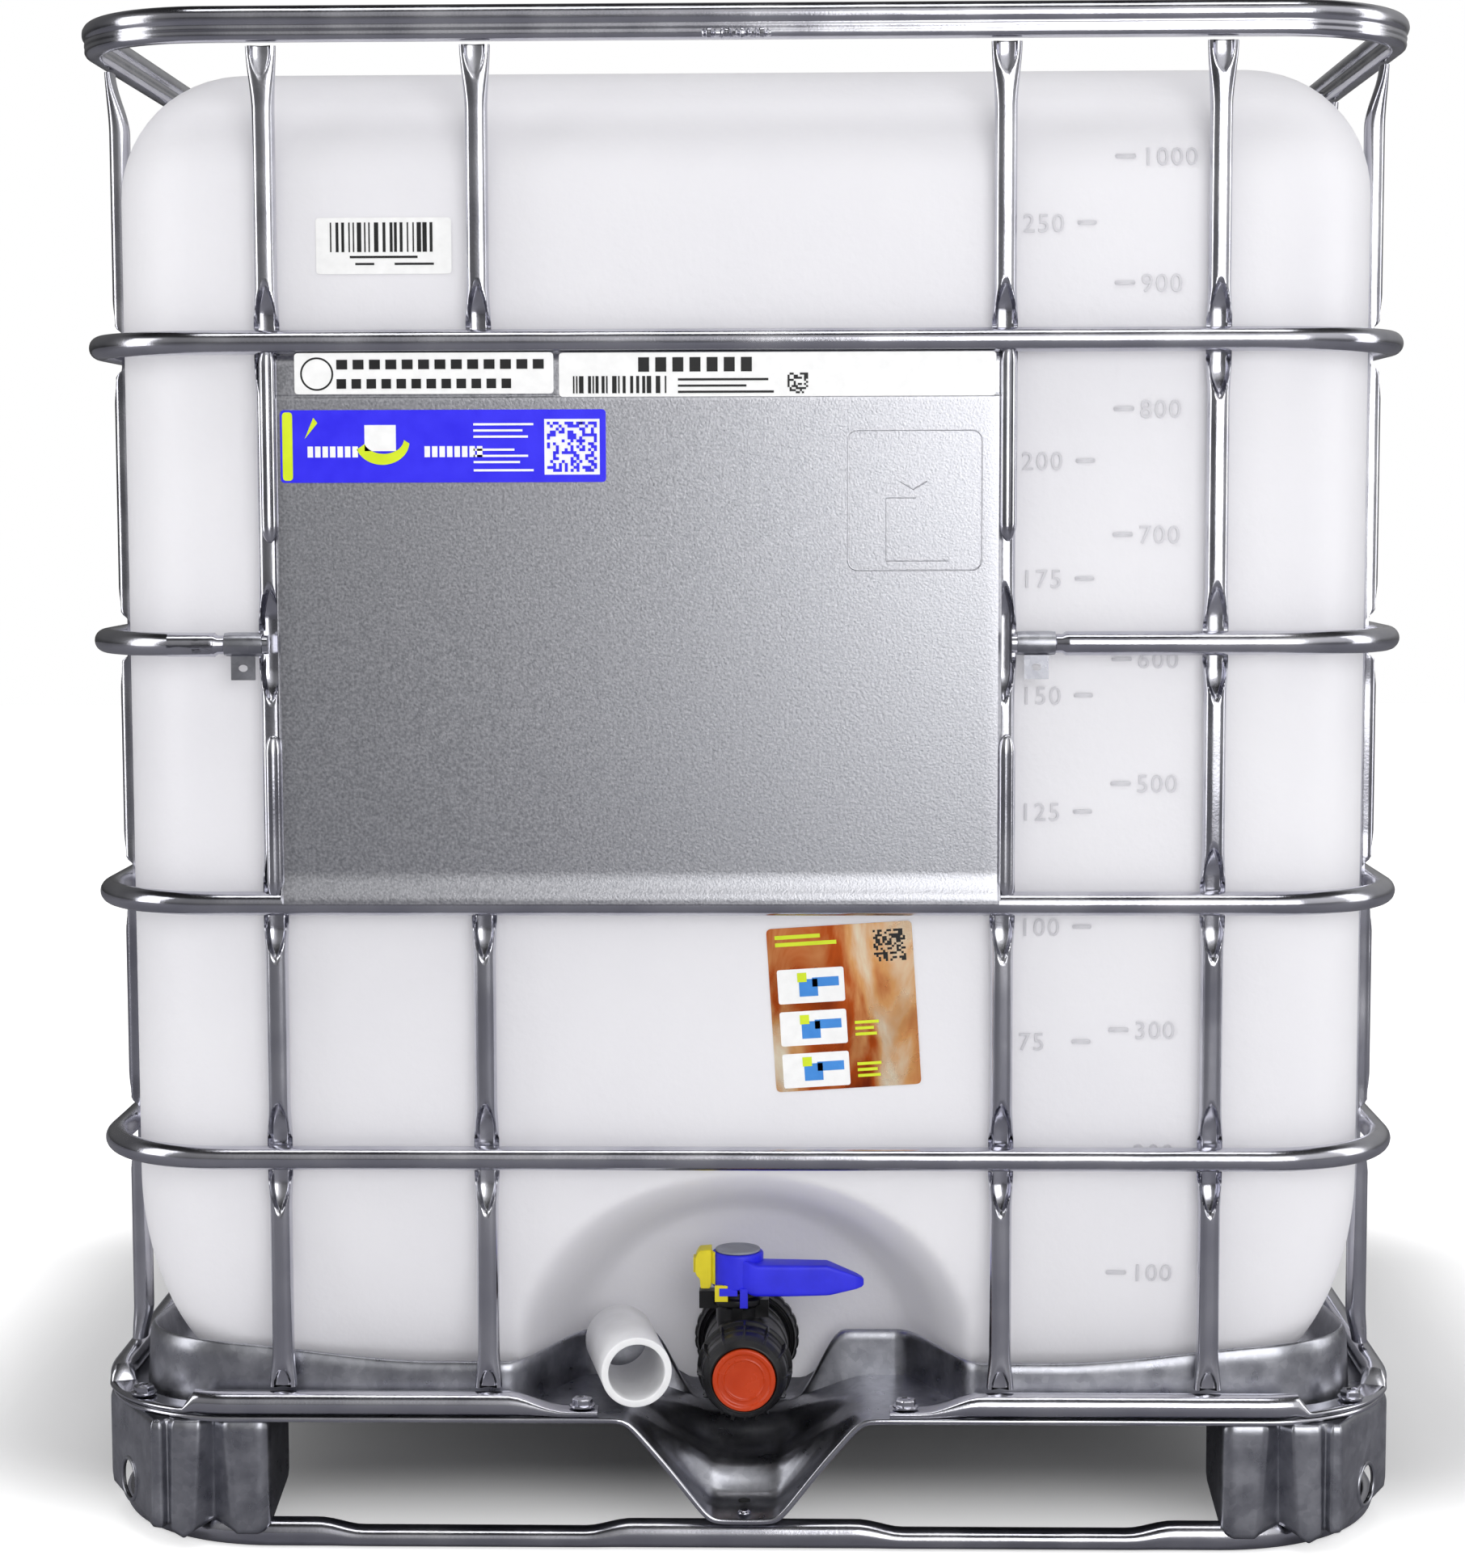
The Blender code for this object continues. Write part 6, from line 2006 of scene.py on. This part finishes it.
    def build_lock(self) -> None:
        """Yellow lock: a clip hooked over the hub's left side, its tongue reaching down in front."""
        low, high = span("safety_lock")
        left, right = float(low[0]), float(high[0])
        outline = soften((
            (left + 0.0012, 0.1925), (left, 0.1965), (left + 0.0006, 0.2075), (left + 0.0034, 0.2122),
            (right, 0.213),
            (right, 0.1845), (right - 0.0015, 0.1822), (right - 0.0085, 0.1822), (right - 0.0092, 0.19),
        ), 0.0012, 4)
        sheet = slab(outline, self.stem_y - 0.0095, self.stem_y + 0.0095, 0.0008)
        skin = Skin().grid(np.stack((sheet[..., 0], sheet[..., 2], sheet[..., 1]), axis=-1), False, True)
        wrap = np.radians(np.linspace(172.0, 212.0, 20))
        arc = np.column_stack((np.cos(wrap), np.sin(wrap)))
        radii = np.array((0.0204, 0.0222))
        tall = np.array((0.186, 0.2118))
        rows = [
            (radii[0], tall[0]), (radii[1], tall[0] + 0.0006), (radii[1], tall[1] - 0.0006),
            (radii[0], tall[1])
        ]
        band = np.stack([
            np.column_stack(
                (self.stem_x + r * arc[:, 0], self.stem_y + r * arc[:, 1], np.full(20, z))
            ) for r, z in rows
        ], axis=1)
        skin.grid(closed_ends(band), False, True)
        skin.boxes(
            np.array(
                ((left - 0.0012, self.stem_y - 0.006, 0.1945), (-0.0235, self.stem_y - 0.019, 0.1745))
            ),
            np.array(((left + 0.001, self.stem_y + 0.006, 0.206), (-0.0135, self.stem_y - 0.016, 0.187))),
        )
        skin.piece("lock_clip", YELLOW, "safety_lock", ["safety_lock"], sharp=40.0)

    def build(self) -> None:
        """Build the valve from the bottle outwards."""
        self.build_union_ring()
        self.build_body()
        self.build_disc()
        self.build_nut()
        self.build_cap()
        self.build_handle()
        self.build_lock()


@dataclass
class LooseTube:
    """Short pale tube lying beside the valve."""

    front: tuple[float, float, float] = (-0.081, -0.586, 0.1355)
    yaw: float = math.radians(-11.0)
    length: float = 0.098
    outer: float = 0.027
    inner: float = 0.0215

    def build(self) -> None:
        """Build the tube: a rounded wall section turned about its own axis."""
        profile = soften(
            ((self.inner, 0.0), (self.outer, 0.0), (self.outer, -self.length), (self.inner, -self.length)),
            0.0012, 5
        )
        skin = Skin().grid(turned(profile, (0.0, 0.0, 0.0), Axis.FORWARD, 72), True, True)
        skin.bend(self.placed).piece("loose_tube_wall", WHITE, "loose_tube", ["loose_tube"], sharp=50.0)

    def placed(self, points: Array) -> Array:
        """Turn points by the tube's heading and move them to its front end."""
        turn = Matrix.Rotation(-self.yaw, 3, "Z")
        return points @ np.array(turn).T + np.array(self.front)


# ------------------------------------------------------------------ studio


@dataclass
class Studio:
    """Camera, pale floor with a painted shadow and painted grey reflections, and soft studio light."""

    eye: tuple[float, float, float] = (0.0456, -2.8557, 0.7932)
    yaw: float = math.radians(-1.334)
    pitch: float = math.radians(5.298)
    roll: float = math.radians(-0.165)
    lens: float = 70.52

    def build_camera(self) -> None:
        """Camera whose axes come from its yaw, its downward pitch and a slight roll."""
        ahead = Vector(
            (
                math.sin(self.yaw) * math.cos(self.pitch), math.cos(self.yaw) * math.cos(self.pitch),
                -math.sin(self.pitch)
            )
        )
        right = Vector((math.cos(self.yaw), -math.sin(self.yaw), 0.0))
        up = right.cross(ahead)
        tilted_right = right * math.cos(self.roll) + up * math.sin(self.roll)
        tilted_up = up * math.cos(self.roll) - right * math.sin(self.roll)
        data = bpy.data.cameras.new("camera")
        data.lens = self.lens
        data.sensor_width = 36.0
        data.clip_start = 0.05
        camera = bpy.data.objects.new("camera", data)
        turn = Matrix((tilted_right, tilted_up, -ahead)).transposed().to_4x4()
        camera.matrix_world = Matrix.Translation(self.eye) @ turn
        bpy.context.scene.collection.objects.link(camera)
        bpy.context.scene.camera = camera

    def build_light(
        self, name: str, spot: Sequence[float], aim: Sequence[float], size: tuple[float, float],
        watts: float
    ) -> None:
        """Soft box: an area light at a spot, turned to its aim.

        Args:
            name: the light's name.
            spot: where it stands.
            aim: what it faces.
            size: its width and height.
            watts: its power.
        """
        data = bpy.data.lights.new(name, "AREA")
        data.shape = "RECTANGLE"
        data.size, data.size_y = size
        data.energy = watts
        light = bpy.data.objects.new(name, data)
        way = Vector(aim) - Vector(spot)
        light.matrix_world = Matrix.Translation(spot) @ way.to_track_quat("-Z", "Y").to_matrix().to_4x4()
        bpy.context.scene.collection.objects.link(light)

    def build_room(self) -> None:
        """Plain pale room, dimmer to the left and far behind, so that metal shows long soft bands."""
        world = bpy.data.worlds.new("studio")
        bpy.context.scene.world = world
        world.use_nodes = True
        tree = world.node_tree
        background = tree.nodes["Background"]
        way = add_node(tree, "ShaderNodeTexCoord").outputs["Generated"]
        parts = add_node(tree, "ShaderNodeSeparateXYZ", None, {"Vector": way})
        band = add_node(tree, "ShaderNodeValToRGB", {"stops": (
            (0.0, "48484C"), (0.4, "606066"), (0.47, "8A8A90"), (0.52, "B4B4BA"), (0.57, "D8D8DC"),
            (0.8, "F4F4F6"),
            (0.88, "505056"), (1.0, "3A3A40"),
        )})
        height = add_node(
            tree, "ShaderNodeMapRange", {"From Min": -1.0, "From Max": 1.0}, {"Value": parts.outputs["Z"]}
        )
        tree.links.new(height.outputs["Result"], band.inputs["Fac"])
        ahead = add_node(tree, "ShaderNodeMapRange", {
            "From Min": -0.35, "From Max": 0.35, "To Min": 1.0, "To Max": 0.45,
        }, {"Value": parts.outputs["Y"]})
        left = add_node(tree, "ShaderNodeMapRange", {
            "interpolation_type": "SMOOTHSTEP", "From Min": -0.25, "From Max": 0.1, "To Min": 0.32,
            "To Max": 1.0,
        }, {"Value": parts.outputs["X"]})
        sheen = add_node(
            tree, "ShaderNodeMath", {"operation": "MULTIPLY"},
            {0: ahead.outputs["Result"], 1: left.outputs["Result"]}
        )
        glossy = add_node(
            tree, "ShaderNodeMath", {"operation": "MULTIPLY"},
            {0: band.outputs["Color"], 1: sheen.outputs[0]}
        )
        rays = add_node(tree, "ShaderNodeLightPath")
        soft = add_node(tree, "ShaderNodeMapRange", {
            "From Min": -1.0, "From Max": 1.0, "To Min": 0.44, "To Max": 0.7,
        }, {"Value": parts.outputs["Z"]})
        lit = add_node(tree, "ShaderNodeMix", {"data_type": "FLOAT"}, {
            0: rays.outputs["Is Glossy Ray"], 2: soft.outputs["Result"], 3: glossy.outputs[0],
        })
        chosen = add_node(tree, "ShaderNodeMix", {"data_type": "FLOAT", 3: 1.0}, {
            0: rays.outputs["Is Camera Ray"], 2: lit.outputs[0],
        })
        tree.links.new(chosen.outputs[0], background.inputs["Strength"])
        background.inputs["Color"].default_value = (1.0, 1.0, 1.0, 1.0)

    def build_floor(self) -> None:
        """Pale floor, a flat sheet far larger than the object, that glows for camera rays except in a
        painted shadow round the container, and shows a painted grey in reflections.
        """
        edge = np.array((-9.0, 9.0))
        x, y = np.meshgrid(edge, edge)
        skin = Skin().grid(np.stack((x, y, np.full_like(x, -0.0004)), axis=-1))
        mesh = skin.mesh("floor", (0.0, 0.0, -5.0))
        floor = bpy.data.objects.new("floor", mesh)
        bpy.context.scene.collection.objects.link(floor)
        paint = Finish(
            "matt_white_floor", Slot.WHITE, "F4F4F4", "F7F7F7", 0.8, 0.9, patch_mm=400.0
        ).material()
        tree = paint.node_tree
        shader = tree.nodes["Principled BSDF"]
        rays = add_node(tree, "ShaderNodeLightPath")
        white = shader.inputs["Base Color"].links[0].from_socket
        # Painted reflection: glossy rays see the floor grey (7E7E84) instead of white, which darkens the
        # metal's lower bands.
        shade = add_node(tree, "ShaderNodeMix", {"data_type": "RGBA", 7: srgb("7E7E84")}, {
            0: rays.outputs["Is Glossy Ray"], 6: white,
        })
        # Painted shadow: for camera rays the floor glows, from nothing near the container's footprint to
        # full strength further out, so it looks shaded under and round the pallet.
        place = add_node(tree, "ShaderNodeTexCoord").outputs["Object"]
        apart = add_node(tree, "ShaderNodeVectorMath", {"operation": "ABSOLUTE"}, {0: place})
        over = add_node(
            tree, "ShaderNodeVectorMath", {"operation": "SUBTRACT", 1: (0.5, 0.27, 0.0)},
            {0: apart.outputs[0]}
        )
        out = add_node(
            tree, "ShaderNodeVectorMath", {"operation": "MAXIMUM", 1: (0.0, 0.0, 0.0)}, {0: over.outputs[0]}
        )
        reach = add_node(tree, "ShaderNodeVectorMath", {"operation": "LENGTH"}, {0: out.outputs[0]})
        painted_shadow_falloff = add_node(tree, "ShaderNodeMapRange", {
            "interpolation_type": "SMOOTHSTEP", "From Min": 0.1, "From Max": 0.36, "To Min": 0.0,
            "To Max": 0.62,
        }, {"Value": reach.outputs["Value"]})
        glow = add_node(tree, "ShaderNodeMath", {"operation": "MULTIPLY"}, {
            0: rays.outputs["Is Camera Ray"], 1: painted_shadow_falloff.outputs["Result"],
        })
        tree.links.new(shade.outputs[2], shader.inputs["Base Color"])
        tree.links.new(glow.outputs[0], shader.inputs["Emission Strength"])
        shader.inputs["Emission Color"].default_value = srgb("FFFFFF")
        mesh.materials.append(paint)

    def build(self) -> None:
        """Set up the camera, the room and the lights."""
        self.build_camera()
        self.build_room()
        self.build_floor()
        self.build_light("key", (0.95, -3.0, 1.2), (0.1, -0.6, 0.75), (1.7, 1.7), 25.0)
        self.build_light("left", (-2.8, -1.3, 1.3), (0.0, -0.2, 0.55), (1.2, 2.4), 22.0)
        self.build_light("right", (2.9, -0.6, 1.3), (0.0, -0.2, 0.55), (1.0, 2.4), 16.0)
        self.build_light("top", (0.0, -1.2, 3.2), (0.0, -0.5, 0.4), (2.2, 0.7), 14.0)
        scene = bpy.context.scene
        scene.view_settings.view_transform = "Standard"
        scene.view_settings.look = "None"


def main() -> None:
    """Build the container on its frame, part by part."""
    logging.basicConfig(level=logging.INFO, format="%(name)s: %(message)s")
    for part in (
        Studio(), Pallet(), CageRings(), Uprights(), Bottle(), FillingLid(), LabelPlate(), OutletValve(),
        LooseTube()
    ):
        LOG.info("building %s", type(part).__name__)
        part.build()


if __name__ == "__main__":
    main()
